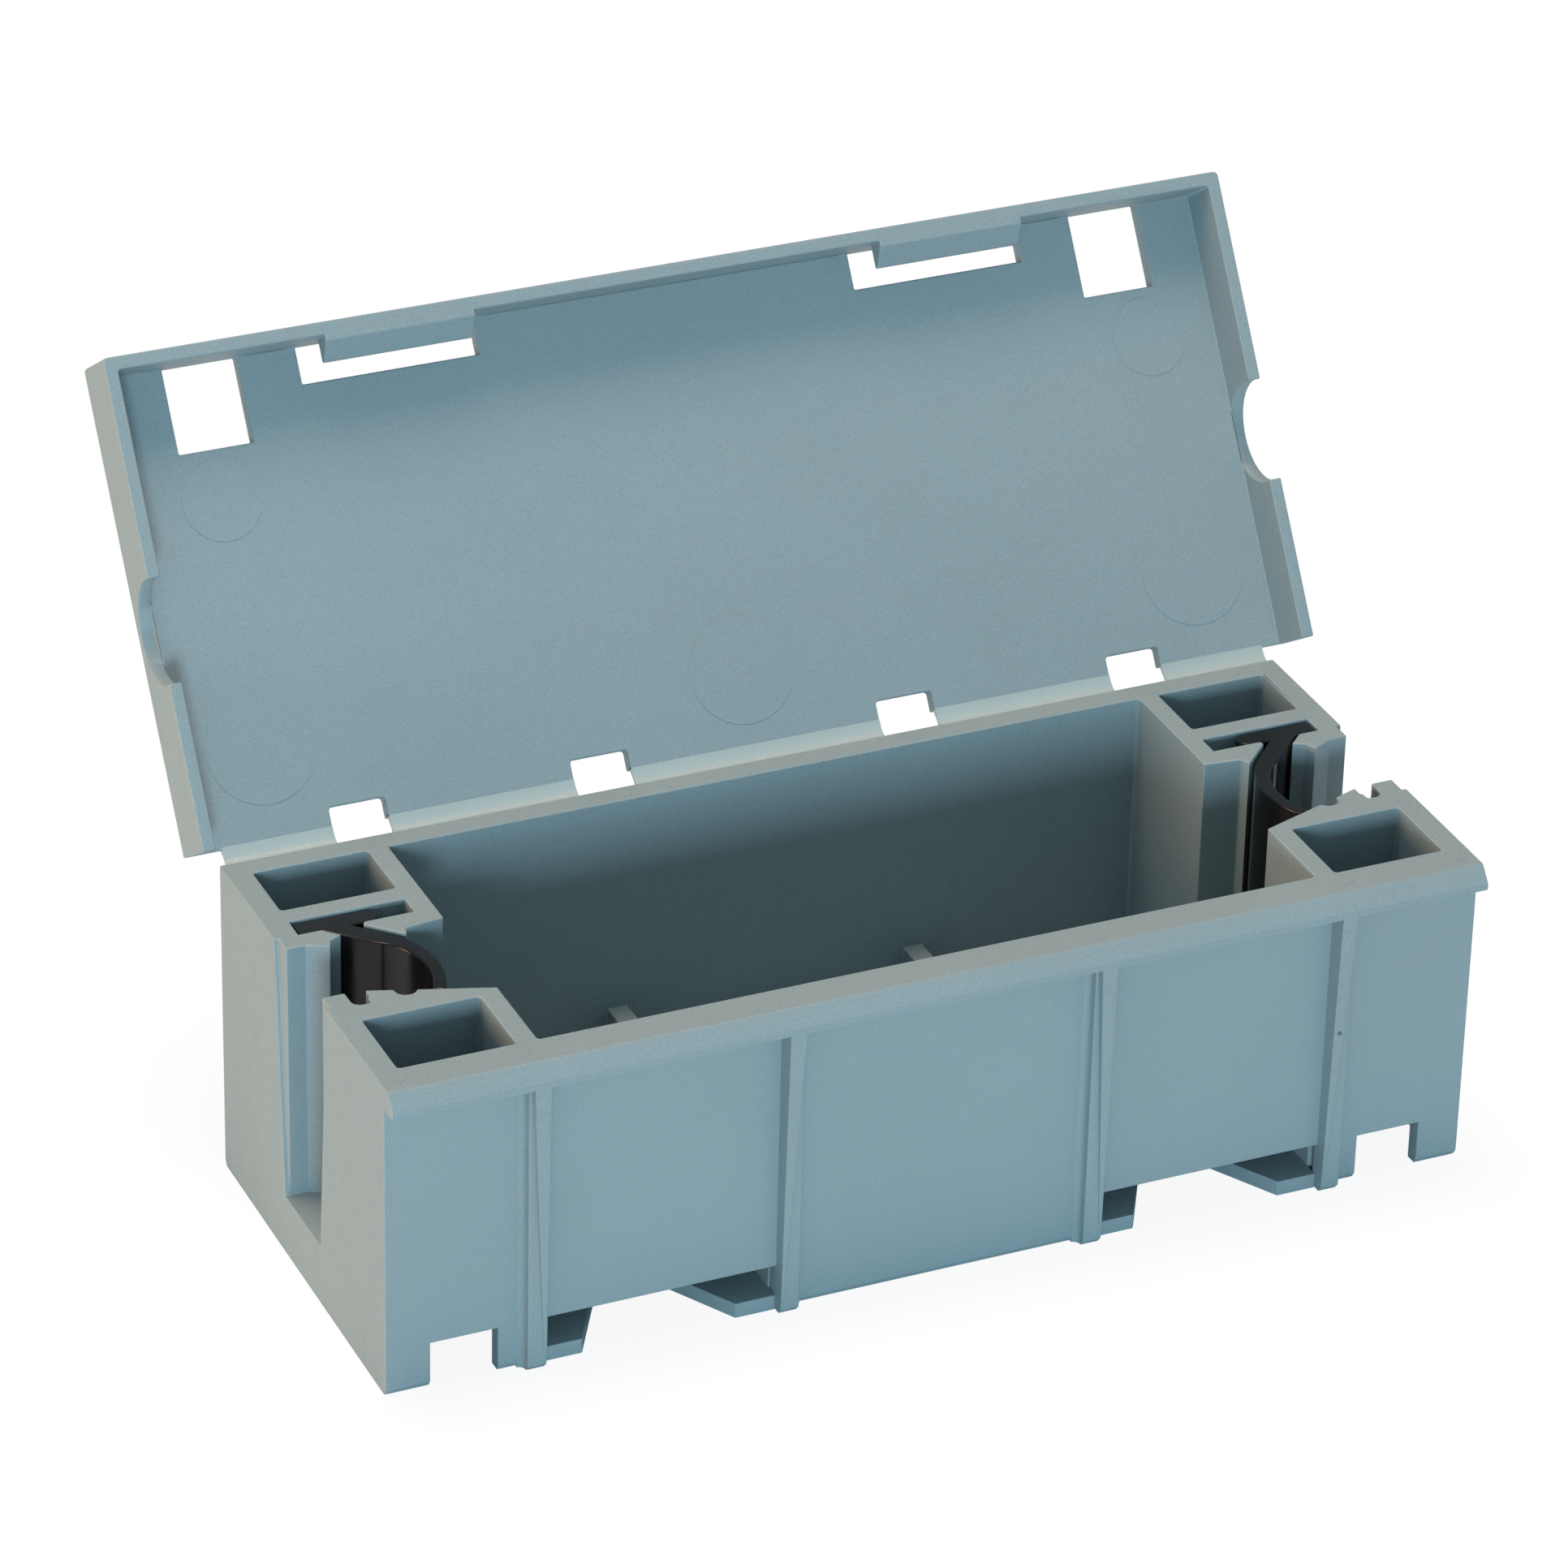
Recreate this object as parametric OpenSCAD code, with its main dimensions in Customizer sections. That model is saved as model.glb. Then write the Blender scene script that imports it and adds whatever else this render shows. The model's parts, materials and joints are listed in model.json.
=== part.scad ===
// Slim junction box for joining cables in line: a long tray on feet, a lid on a
// film hinge with two snap hooks, and a springy clamp in a slot at each cable entry.
//
// Millimetres. X runs along the box, Y from the front (the snap side) to the back
// (the hinge side), Z up. The origin is on the surface that the box stands on,
// midway between its two screw seats, which is also the middle of its footprint.
// The left and right halves mirror each other, so most shapes are drawn once, for
// the left end, in distances e from that end and f from the front face.

/* [Body] */
// Length of the tray, end face to end face
body_l = 95; // [84:0.5:130]
// Width of the tray, front face to back face
body_w = 36.6; // [35:0.2:50]
// Height of the tray, feet to rim
body_h = 28.4; // [24:0.2:40]
// Thickness of the front wall
front_wall = 2.4; // [1.6:0.1:3.2]
// Thickness of the back wall
back_wall = 2.1; // [1.6:0.1:3]
// Thickness of the end walls
end_wall = 2.1; // [1.4:0.1:3]
// Thickness of the floor
floor_t = 1.3; // [1:0.1:2.5]
// Height of the space under the floor
foot_h = 4.1; // [3.4:0.1:6]
// Thickness of the skirt under the floor
skirt_t = 1.4; // [1:0.1:2]

/* [Corner posts] */
// Length of every pocket, along the box
pocket_l = 9.8; // [7:0.1:12]
// Width of the two front pockets
front_pocket_w = 7.6; // [5:0.1:9]
// Width of the two back pockets
back_pocket_w = 6.4; // [5:0.1:8]
// Wall between a pocket and the main cavity
web_t = 1.8; // [1.2:0.1:2.6]
// Wall between a back pocket and its clamp slot
slot_back_t = 1.9; // [1.2:0.1:2.4]
// Wall between a clamp slot and the cable gap
slot_front_t = 1.8; // [1.4:0.1:2.2]
// Thickness of the front posts at the outer edge of the cable gap
gap_wall_t = 4.35; // [3.4:0.1:5]

/* [Cable clamps] */
// Width of the clamp slots
slot_w = 2.1; // [1.6:0.1:2.6]
// Length of a clamp's flange
flange_l = 6.9; // [6.4:0.1:7.6]
// How far the clamps' tops lie under the tray's rim
clamp_drop = 0.2; // [0.1:0.05:0.6]
// Thickness of a clamp's arm where it starts to flex
arm_t = 1.4; // [1.1:0.05:1.5]
// Thickness of a clamp's arm at its tip
arm_tip_t = 1; // [0.8:0.05:1.1]
// Angle between a clamp's neck and its slot
neck_angle = 46; // [44:1:50]
// Gap left round a clamp
clamp_gap = 0.15; // [0.1:0.01:0.2]

/* [Snap lip and ribs] */
// How far the lip's top edge stands out from the front wall
lip_top = 0.75; // [0.4:0.05:1]
// How far the lip's lower edge stands out
lip_out = 1.85; // [1.4:0.05:2.2]
// Height of the lip
lip_h = 1.95; // [1.5:0.05:2.4]
// Height of the upright band along the lip's lower edge
lip_band = 0.6; // [0.3:0.05:0.9]
// Width of a rib's front strip
rib_w = 1.4; // [1:0.1:2]
// How far a rib's foot stands out from the front wall
rib_out = 1.15; // [0.8:0.05:1.4]

/* [Lid] */
// Thickness of the lid's panel
lid_t = 1.4; // [1:0.1:2]
// Gap between the ends of the tray and the lid's side rims
rim_gap = 1.1; // [0.5:0.1:1.6]
// Gap between the lip and the lid's front rim
front_gap = 0.9; // [0.6:0.1:1.4]
// Thickness of the rims
rim_t = 1.2; // [0.9:0.1:1.8]
// Height of the rims over the panel's inner face
rim_h = 4.4; // [3.6:0.1:5]
// Length of each snap hook
hook_l = 13; // [9:0.5:16]
// How far a hook reaches under the lip
hook_grip = 1; // [0.7:0.05:1.2]
// Gap between the closed lid and the tray's rim, and under the lip
close_gap = 0.1; // [0.05:0.01:0.3]
// How far the lid stands open, counted from closed
open_angle = 123; // [90:1:170]

/* [Film hinge] */
// Thickness of the film
film_t = 0.35; // [0.25:0.05:0.5]
// Width of the film between the tray and the lid
film_w = 1.3; // [1:0.1:1.6]

/* [Screw slots] */
// Distance between the two screw seats
screw_spacing = 48.5; // [44:0.5:54]
// Width of the slots that the screws' shanks slide into
shank_w = 4.3; // [4.1:0.1:5]
// Width of a slot's mouth at the front
mouth_w = 13.2; // [10:0.1:15]
// Thickness of the plates that a screw's head catches
plate_t = 1.35; // [1:0.05:1.6]

/* [Hidden] */

PLASTIC = [0.47, 0.60, 0.64];
FILM = [0.62, 0.73, 0.76];
CLAMP = [0.03, 0.03, 0.035];
CUT = 1; // how far a cutting shape runs past what it cuts

// levels of the tray
floor_top = foot_h + floor_t;
lip_bottom = body_h - lip_h;

// the corner posts, in e from the end and f from the front
post_l = end_wall + pocket_l + web_t;
gap_front = front_wall + front_pocket_w + gap_wall_t;
slot_back = body_w - back_wall - back_pocket_w - slot_back_t;
slot_front = slot_back - slot_w;
gap_back = slot_front - slot_front_t;
gap_w = gap_back - gap_front;
// a front post's inner corner lies this much further from the cable gap than its outer one
slant_drop = gap_wall_t - 1;
slant_from = end_wall + 1.85;
slant = slant_drop / (post_l - slant_from);
function slant_f(e) = gap_front - 0.2 - slant * (e - slant_from);
// the frame round a cable gap is this much lower than the end face
frame_d = 0.4;
frame_w = 1.8;
// a notch for the cable's sheath
notch_r = 0.9;
notch_e = end_wall + 4.85;

// the clamp slot's mouth: the tips of the lips on both sides of a clamp's neck
outer_tip = [end_wall + 3.15, gap_back + 0.55];
inner_tip = [end_wall + 5.35, slot_front - 0.4];
// the directions along a neck, away from its flange, and across it, towards the tray
along = [cos(neck_angle), -sin(neck_angle)];
across = [sin(neck_angle), cos(neck_angle)];
// the arm's outer curve starts along the neck and ends at the front post's slope
arm_r = gap_w;
neck_corner = inner_tip - 1.35 * clamp_gap * across;
neck_w = (inner_tip - outer_tip) * across - 2.7 * clamp_gap;
arm_tip = [end_wall + 7.8, slant_f(end_wall + 7.8) + 1.3 * clamp_gap];
tip_from = arm_tip - neck_corner + arm_r * across;
tip_along = tip_from * along;
arm_run = tip_along - sqrt(tip_along ^ 2 - tip_from * tip_from + arm_r ^ 2);
arm_start = neck_corner + arm_run * along;
arm_centre = arm_start - arm_r * across;
arm_end = atan2(arm_tip[1] - arm_centre[1], arm_tip[0] - arm_centre[0]);
clamp_top = body_h - clamp_drop;
// room for the arm to swing, at the pivot and over the floor
pivot_gap = 0.12;
arm_lift = 0.3;
// the arm flexes about this point of its curve, at the middle of its thickness
pivot_angle = 30;
pivot_out = [cos(pivot_angle), sin(pivot_angle)];
pivot = arm_centre + (arm_r - arm_t / 2) * pivot_out;
// a tooth of the back post stands beside the pivot, clear of the arm
tooth_angle = pivot_angle + 3;
arm_tooth = arm_centre + (arm_r + 2 * clamp_gap) * [cos(tooth_angle), sin(tooth_angle)];
// the arm's inner curve is set off from the outer one, so that the arm thins to its tip
arm_shift = (arm_t - arm_tip_t) / (sin(pivot_angle) - sin(arm_end));
arm_inner_r = arm_r - arm_t + arm_shift * sin(pivot_angle);

// the lid's panel starts this far from its axis, and the film spans the rest
lid_from = 0.8;
// the lid's axis, in the tray's frame
hinge_y = body_w / 2 + film_w - lid_from;
hinge_z = body_h + close_gap;
// the lid's own lengths, s from the axis
lid_inner = hinge_y + body_w / 2 + lip_out + front_gap;
lid_depth = lid_inner + rim_t;
lid_half = body_l / 2 + rim_gap + rim_t;
hook_tip = hinge_y + body_w / 2 + lip_out - hook_grip;
// a closed hook stays this far under the lip
hook_play = 0.23;
hook_catch = lip_h + close_gap + hook_play;
hook_mid = body_l / 2 - post_l - 9.2;
// [distance from the left end, length] of the openings beside the hinge
hinge_gaps = [[10.1, 4.9], [31.2, 5.1]];
hinge_gap_depth = 1.75;
// [distance from the end, length, depth] of the window at each of the lid's free corners
corner_window = [3.7, 6.45, 7.1];
// the hook's window is this much longer than the hook at each end, and this deep
hook_window_over = 1.25;
hook_window_depth = 3.15;
// the round cut in each side rim over the cable gap
scoop_r = gap_w / 2 + 0.35;
scoop_s = hinge_y + body_w / 2 - (gap_front + gap_back) / 2;

// the ribs stand at both sides of each screw slot
rib_side = 10.05;
rib_step = 0.45;

// Moves what is drawn in e and f to the left end, or mirrors it to the right one.
module at_end(right = false) {
    mirror([right ? 1 : 0, 0, 0])
        translate([-body_l / 2, -body_w / 2, 0])
            children();
}

// Both ends at once.
module both_ends() {
    at_end() children();
    at_end(right = true) children();
}

// Turns what is drawn as the closed lid, in [x, -s, t], to where the open lid stands.
module open_lid() {
    translate([0, hinge_y, hinge_z])
        rotate([-open_angle, 0, 0])
            children();
}

// A block of the closed lid, from s1 to s2 off the axis and t1 to t2 under the panel's
// inner face, so that the panel itself lies at negative t.
module lid_block(x1, x2, s1, s2, t1, t2) {
    translate([x1, -s2, -t2])
        cube([x2 - x1, s2 - s1, t2 - t1]);
}

// The floor, the two long walls, and two stops for the terminals on the floor.
module base_tray() {
    stop = [1.8, 5, 3.3];
    color(PLASTIC) {
        translate([-body_l / 2, -body_w / 2, foot_h])
            cube([body_l, body_w, floor_t]);
        translate([-body_l / 2, -body_w / 2, floor_top])
            cube([body_l, front_wall, body_h - floor_top]);
        translate([-body_l / 2, body_w / 2 - back_wall, floor_top])
            cube([body_l, back_wall, body_h - floor_top]);
        for (side = [-1, 1])
            translate([
                side * (screw_spacing / 2 - rib_side - rib_w / 2) - stop[0] / 2,
                body_w / 2 - back_wall - stop[1],
                floor_top
            ])
                cube(stop);
    }
}

// The lip that the lid's hooks snap under.
module snap_lip() {
    color(PLASTIC)
        translate([-body_l / 2, -body_w / 2, 0])
            rotate([90, 0, 90])
                linear_extrude(body_l)
                    polygon([
                        [0, lip_bottom],
                        [-lip_out, lip_bottom],
                        [-lip_out, lip_bottom + lip_band],
                        [-lip_top, body_h],
                        [0, body_h]
                    ]);
}

// One rib, its plain side at x = 0 and its stepped side towards +X.
module rib() {
    rotate([90, 0, 90])
        linear_extrude(rib_w)
            polygon([[0, 0], [-rib_out, 0], [-lip_out, lip_bottom], [0, lip_bottom]]);
    translate([rib_w, 0, 0])
        linear_extrude(lip_bottom)
            polygon([[0, 0], [0, -rib_out], [rib_step, -rib_out], [2 * rib_step, 0]]);
}

// The four ribs of the front wall, stepped away from the screw slots.
module front_ribs() {
    color(PLASTIC)
        for (side = [-1, 1])
            translate([side * screw_spacing / 2, -body_w / 2, 0]) {
                translate([rib_side, 0, 0])
                    rib();
                mirror([1, 0, 0])
                    translate([rib_side, 0, 0])
                        rib();
            }
}

// The skirt under the floor: whole along the ends, and cut away in bays at front and back.
module foot_skirt() {
    foot_l = 3.8;
    post_from = 9.5;
    screw_e = (body_l - screw_spacing) / 2;
    color(PLASTIC)
        difference() {
            translate([-body_l / 2, -body_w / 2, 0])
                cube([body_l, body_w, foot_h]);
            translate([-body_l / 2 + skirt_t, -body_w / 2 + skirt_t, -CUT])
                cube([body_l - 2 * skirt_t, body_w - 2 * skirt_t, foot_h + 2 * CUT]);
            both_ends()
                translate([foot_l, -CUT, -CUT])
                    cube([post_from - foot_l, body_w + 2 * CUT, foot_h + 2 * CUT]);
            both_ends()
                translate([screw_e - rib_side, -CUT, -CUT])
                    cube([2 * rib_side, body_w + 2 * CUT, foot_h + 2 * CUT]);
        }
}

// One screw slot: a box under the floor, open at the front from rib to rib, whose plate
// is cut by a funnel that leads a screw's shank to a round seat in the tray's middle.
module screw_slot() {
    box_back = body_w / 2 + 6;
    box_side = rib_side + skirt_t;
    funnel = 7.8;
    translate([0, -body_w / 2, 0])
        difference() {
            union() {
                translate([-rib_side, 0, 0])
                    cube([2 * rib_side, box_back, foot_h]);
                translate([-box_side, skirt_t, 0])
                    cube([2 * box_side, box_back - skirt_t, foot_h]);
            }
            translate([-rib_side, -CUT, plate_t])
                cube([2 * rib_side, box_back + CUT - skirt_t, foot_h]);
            translate([0, 0, -CUT])
                linear_extrude(plate_t + 2 * CUT)
                    polygon([
                        [-mouth_w / 2, 0],
                        [-mouth_w / 2, -CUT],
                        [mouth_w / 2, -CUT],
                        [mouth_w / 2, 0],
                        [shank_w / 2, funnel],
                        [shank_w / 2, body_w / 2],
                        [-shank_w / 2, body_w / 2],
                        [-shank_w / 2, funnel]
                    ]);
            translate([0, body_w / 2, -CUT])
                cylinder(d = shank_w, h = plate_t + 2 * CUT, $fn = 64);
        }
}

module screw_slot_left() {
    color(PLASTIC)
        translate([-screw_spacing / 2, 0, 0])
            screw_slot();
}

module screw_slot_right() {
    color(PLASTIC)
        translate([screw_spacing / 2, 0, 0])
            screw_slot();
}

// Cuts the tapering frame at the outer edge of a cable gap. side is 1 on a back post
// and -1 on a front one, and from is the post's edge of the gap.
module gap_frame(from, side) {
    translate([-CUT, from, 0])
        rotate([90, 0, 90])
            linear_extrude(CUT + frame_d)
                polygon([
                    [0, floor_top],
                    [side * frame_w, body_h],
                    [side * frame_w, body_h + CUT],
                    [-side * CUT, body_h + CUT],
                    [-side * CUT, floor_top]
                ]);
}

// A front post's outline. Its face to the cable gap has a square notch and a round one
// that bite into the cable's sheath, and then slopes away into the tray.
module front_post_outline() {
    notch_from = end_wall + 0.2;
    notch_floor = gap_front - 2.1;
    round = 0.7;
    difference() {
        polygon([
            [0, front_wall],
            [0, gap_front],
            [notch_from, gap_front],
            [notch_from, notch_floor + round],
            [notch_from + round, notch_floor],
            [slant_from - 0.35, notch_floor],
            [slant_from, notch_floor + 0.5],
            [slant_from, slant_f(slant_from)],
            [post_l, slant_f(post_l)],
            [post_l, front_wall]
        ]);
        translate([end_wall, front_wall - CUT])
            square([pocket_l, front_pocket_w + CUT]);
        translate([notch_e, slant_f(notch_e) + 0.1])
            circle(r = notch_r, $fn = 40);
    }
}

// A back post's outline, with its pocket, the clamp's T-slot and the slot's two lips.
module back_post_outline() {
    tooth = 1.3;
    difference() {
        polygon([
            [0, body_w - back_wall],
            [0, gap_back],
            [end_wall - 0.1, gap_back],
            [outer_tip[0] - 1.45, gap_back - tooth * 0.7],
            [outer_tip[0] - 1.1, gap_back],
            outer_tip,
            [outer_tip[0] - 1.3, slot_front],
            [inner_tip[0] + 0.15, slot_front],
            inner_tip,
            arm_tooth,
            [arm_tooth[0] + 0.3, gap_back - 0.35],
            [post_l, gap_back],
            [post_l, body_w - back_wall]
        ]);
        translate([end_wall, slot_back + slot_back_t])
            square([pocket_l, back_pocket_w + CUT]);
        translate([end_wall, slot_front])
            square([pocket_l, slot_w]);
    }
}

module corner_post_front(right) {
    color(PLASTIC)
        at_end(right)
            difference() {
                translate([0, 0, floor_top])
                    linear_extrude(body_h - floor_top)
                        front_post_outline();
                gap_frame(gap_front, -1);
            }
}

module corner_post_back(right) {
    color(PLASTIC)
        at_end(right)
            difference() {
                translate([0, 0, floor_top])
                    linear_extrude(body_h - floor_top)
                        back_post_outline();
                gap_frame(gap_back, 1);
            }
}

module corner_post_front_left() {
    corner_post_front(false);
}

module corner_post_front_right() {
    corner_post_front(true);
}

module corner_post_back_left() {
    corner_post_back(false);
}

module corner_post_back_right() {
    corner_post_back(true);
}

// The lid's panel, with a window at each free corner, one at each hook and four
// openings along the hinge.
module lid_panel() {
    below = -lid_t - CUT;
    color(PLASTIC)
        open_lid()
            difference() {
                lid_block(-lid_half, lid_half, lid_from, lid_depth, -lid_t, 0);
                for (side = [-1, 1]) {
                    corner = side * (body_l / 2 - corner_window[0] - corner_window[1] / 2);
                    lid_block(
                        corner - corner_window[1] / 2, corner + corner_window[1] / 2,
                        lid_inner - corner_window[2], lid_inner, below, CUT
                    );
                    half = hook_l / 2 + hook_window_over;
                    lid_block(
                        side * hook_mid - half, side * hook_mid + half,
                        lid_inner - hook_window_depth, lid_inner, below, CUT
                    );
                    for (gap = hinge_gaps) {
                        middle = side * (body_l / 2 - gap[0] - gap[1] / 2);
                        lid_block(
                            middle - gap[1] / 2, middle + gap[1] / 2,
                            lid_from - CUT, lid_from + hinge_gap_depth, below, CUT
                        );
                    }
                }
                scoops();
            }
}

// The round cuts in the lid's side rims, where the cables pass.
module scoops() {
    for (side = [-1, 1])
        translate([side * (lid_half - rim_t / 2), -scoop_s, -scoop_r + 0.7])
            rotate([0, 90, 0])
                cylinder(r = scoop_r, h = rim_t + 0.02, center = true, $fn = 96);
}

// The rims along the lid's two sides and its front.
module lid_rim() {
    color(PLASTIC)
        open_lid()
            difference() {
                lid_block(-lid_half, lid_half, lid_from, lid_depth, 0, rim_h);
                lid_block(
                    -lid_half + rim_t, lid_half - rim_t,
                    lid_from - CUT, lid_inner, -CUT, rim_h + CUT
                );
                scoops();
            }
}

// One hook on the front rim, with its lead-in slope and its flat catch.
module snap_hook(x) {
    flat = 0.4;
    nose = 0.5;
    color(PLASTIC)
        open_lid()
            translate([x - hook_l / 2, 0, 0])
                rotate([90, 0, 90])
                    linear_extrude(hook_l)
                        polygon([
                            [-lid_inner, -hook_catch],
                            [-hook_tip, -hook_catch],
                            [-hook_tip, -hook_catch - nose],
                            [-lid_inner + flat, -rim_h],
                            [-lid_inner, -rim_h]
                        ]);
}

module snap_hook_left() {
    snap_hook(-hook_mid);
}

module snap_hook_right() {
    snap_hook(hook_mid);
}

// Where the film starts and ends along X: five strips, parted by the four openings.
film_end = body_l / 2 - 0.6;
film_edges = [
    -film_end,
    for (gap = hinge_gaps) each [gap[0] - body_l / 2, gap[0] + gap[1] - body_l / 2],
    for (i = [len(hinge_gaps) - 1 : -1 : 0])
        each [
            body_l / 2 - hinge_gaps[i][0] - hinge_gaps[i][1],
            body_l / 2 - hinge_gaps[i][0]
        ],
    film_end
];

// Where a point of the lid, s off the axis and t under the panel's inner face, stands
// in Y and Z while the lid is open.
function lid_point(s, t) = [
    hinge_y - s * cos(open_angle) - t * sin(open_angle),
    hinge_z + s * sin(open_angle) - t * cos(open_angle)
];

// One strip of the film hinge, from the tray's rim to the edge of the lid's panel.
module hinge_film(i) {
    color(FILM)
        translate([film_edges[2 * i], 0, 0])
            rotate([90, 0, 90])
                linear_extrude(film_edges[2 * i + 1] - film_edges[2 * i])
                    polygon([
                        [body_w / 2, body_h],
                        [body_w / 2, body_h - film_t],
                        [hinge_y + film_t * 0.3, hinge_z - film_t],
                        lid_point(lid_from, -film_t),
                        lid_point(lid_from, 0),
                        [hinge_y - film_t * 0.2, hinge_z]
                    ]);
}

module hinge_film_1() {
    hinge_film(0);
}

module hinge_film_2() {
    hinge_film(1);
}

module hinge_film_3() {
    hinge_film(2);
}

module hinge_film_4() {
    hinge_film(3);
}

module hinge_film_5() {
    hinge_film(4);
}

// A clamp's foot: the flange in the slot, and the slanting neck that comes out through
// the slot's mouth and ends in a round knuckle at the pivot.
module clamp_foot(right) {
    foot_top = clamp_top - floor_top;
    flange_w = slot_w - 2 * clamp_gap;
    flange_f = slot_front + clamp_gap;
    round = flange_w / 2;
    neck_inner = neck_corner - neck_w * across;
    // the neck's two sides run back into the flange by this much
    sunk = 0.3;
    function into_flange(p) = p - (flange_f + sunk - p[1]) / -along[1] * along;
    color(CLAMP)
        at_end(right)
            translate([0, 0, floor_top]) {
                translate([end_wall + clamp_gap, flange_f, 0]) {
                    cube([flange_l - round, flange_w, foot_top]);
                    translate([flange_l - round, round, 0])
                        cylinder(r = round, h = foot_top, $fn = 48);
                }
                linear_extrude(foot_top)
                    polygon([
                        into_flange(neck_corner),
                        arm_start,
                        pivot + arm_t / 2 * pivot_out,
                        pivot - arm_t / 2 * pivot_out,
                        neck_inner + 0.4 * arm_run * along,
                        into_flange(neck_inner)
                    ]);
                translate([pivot[0], pivot[1], 0])
                    cylinder(d = arm_t, h = foot_top, $fn = 48);
            }
}

// The outline of a clamp's arm, which bows into the tray and back to the front post.
// It starts in a hollow round the pivot.
module clamp_arm_outline() {
    difference() {
        intersection() {
            translate(arm_centre)
                difference() {
                    circle(r = arm_r, $fn = 128);
                    translate([0, -arm_shift])
                        circle(r = arm_inner_r, $fn = 128);
                }
            polygon([
                arm_centre,
                arm_centre + 2 * arm_r * [cos(arm_end), sin(arm_end)],
                arm_centre + 2 * arm_r * [1, 0],
                arm_centre + 2 * arm_r * pivot_out
            ]);
        }
        translate(pivot)
            circle(d = arm_t + 2 * pivot_gap, $fn = 48);
    }
}

module clamp_arm(right) {
    color(CLAMP)
        at_end(right)
            translate([0, 0, floor_top + arm_lift])
                linear_extrude(clamp_top - floor_top - arm_lift)
                    clamp_arm_outline();
}

module clamp_foot_left() {
    clamp_foot(false);
}

module clamp_foot_right() {
    clamp_foot(true);
}

module clamp_arm_left() {
    clamp_arm(false);
}

module clamp_arm_right() {
    clamp_arm(true);
}

base_tray();
snap_lip();
front_ribs();
foot_skirt();
screw_slot_left();
screw_slot_right();
corner_post_front_left();
corner_post_front_right();
corner_post_back_left();
corner_post_back_right();
lid_panel();
lid_rim();
snap_hook_left();
snap_hook_right();
hinge_film_1();
hinge_film_2();
hinge_film_3();
hinge_film_4();
hinge_film_5();
clamp_foot_left();
clamp_foot_right();
clamp_arm_left();
clamp_arm_right();
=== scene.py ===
"""A slim cable junction box: a moulded tray, its lid on a film hinge, and two clamps.

Sizes in the classes are millimetres. Meshes are made in metres, in the frame of the
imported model. Mouldings are joined from extruded outlines and then given rounded edges.
"""

import json
import logging
import math
from collections.abc import Sequence
from dataclasses import dataclass, field
from enum import Enum

import bmesh
import bpy
from mathutils import Matrix, Vector
from mathutils.geometry import tessellate_polygon


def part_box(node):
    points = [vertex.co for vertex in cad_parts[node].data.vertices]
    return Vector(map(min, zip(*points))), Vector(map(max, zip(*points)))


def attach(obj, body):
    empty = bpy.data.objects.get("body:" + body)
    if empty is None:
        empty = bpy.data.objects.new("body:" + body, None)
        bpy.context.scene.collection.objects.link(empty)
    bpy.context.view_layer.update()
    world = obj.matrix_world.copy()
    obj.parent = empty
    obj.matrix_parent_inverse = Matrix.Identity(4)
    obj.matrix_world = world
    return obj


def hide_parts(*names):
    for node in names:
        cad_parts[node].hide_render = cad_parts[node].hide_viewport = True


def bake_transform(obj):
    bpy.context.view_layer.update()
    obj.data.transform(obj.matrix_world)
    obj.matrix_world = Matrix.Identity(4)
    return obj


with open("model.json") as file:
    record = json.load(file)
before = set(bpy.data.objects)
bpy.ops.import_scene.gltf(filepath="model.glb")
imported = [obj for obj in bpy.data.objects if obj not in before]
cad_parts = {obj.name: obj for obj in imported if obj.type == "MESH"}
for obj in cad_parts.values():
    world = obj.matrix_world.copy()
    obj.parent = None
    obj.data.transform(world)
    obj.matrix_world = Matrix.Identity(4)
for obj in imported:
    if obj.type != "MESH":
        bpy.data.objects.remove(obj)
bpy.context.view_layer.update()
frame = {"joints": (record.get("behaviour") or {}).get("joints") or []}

MM = 0.001
LOG = logging.getLogger("junction_box")

WELD = 0.003  # points nearer to each other than this are one point
FLAT_TURN = math.radians(0.5)  # faces that turn less than this are one flat face
ROUNDED_TURN = math.radians(32)  # edges that turn more than this are rounded
SHARP_TURN = math.radians(48)  # edges that turn more than this stay sharp in the shading
ROOT = 0.3  # how far a detail reaches into the wall that it grows out of
CLEAR = 1.0  # how far a cut reaches past what it cuts

Point = tuple[float, float]
Corner = tuple[float, float, float]
Place = tuple[float, float, float]
Colour = tuple[float, float, float]
Outline = list[Point]
Piece = bpy.types.Object
Socket = bpy.types.NodeSocket


class Side(Enum):
    """The two ends of the box. The value is the sign of X there."""

    LEFT = -1
    RIGHT = 1

    @property
    def word(self) -> str:
        """The side's name, as the nodes spell it."""
        return self.name.lower()


class Join(Enum):
    """What one solid does to another."""

    ADD = "UNION"
    CUT = "DIFFERENCE"


# ---------------------------------------------------------------- outlines and solids


def arc(centre: Point, radius: float, start: float, end: float, steps: int) -> Outline:
    """Points along an arc.

    Args:
        centre: The arc's centre.
        radius: Its radius.
        start: The angle of its first point, in degrees.
        end: The angle of its last point, in degrees.
        steps: How many straight pieces stand for the curve.

    Returns:
        The arc's points, both ends included.
    """
    turns = [math.radians(start + (end - start) * i / steps) for i in range(steps + 1)]
    return [(centre[0] + radius * math.cos(a), centre[1] + radius * math.sin(a)) for a in turns]


def disc(centre: Point, radius: float, corners: int) -> Outline:
    """A full circle as an outline with so many corners."""
    return arc(centre, radius, 0, 360 - 360 / corners, corners - 1)


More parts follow.
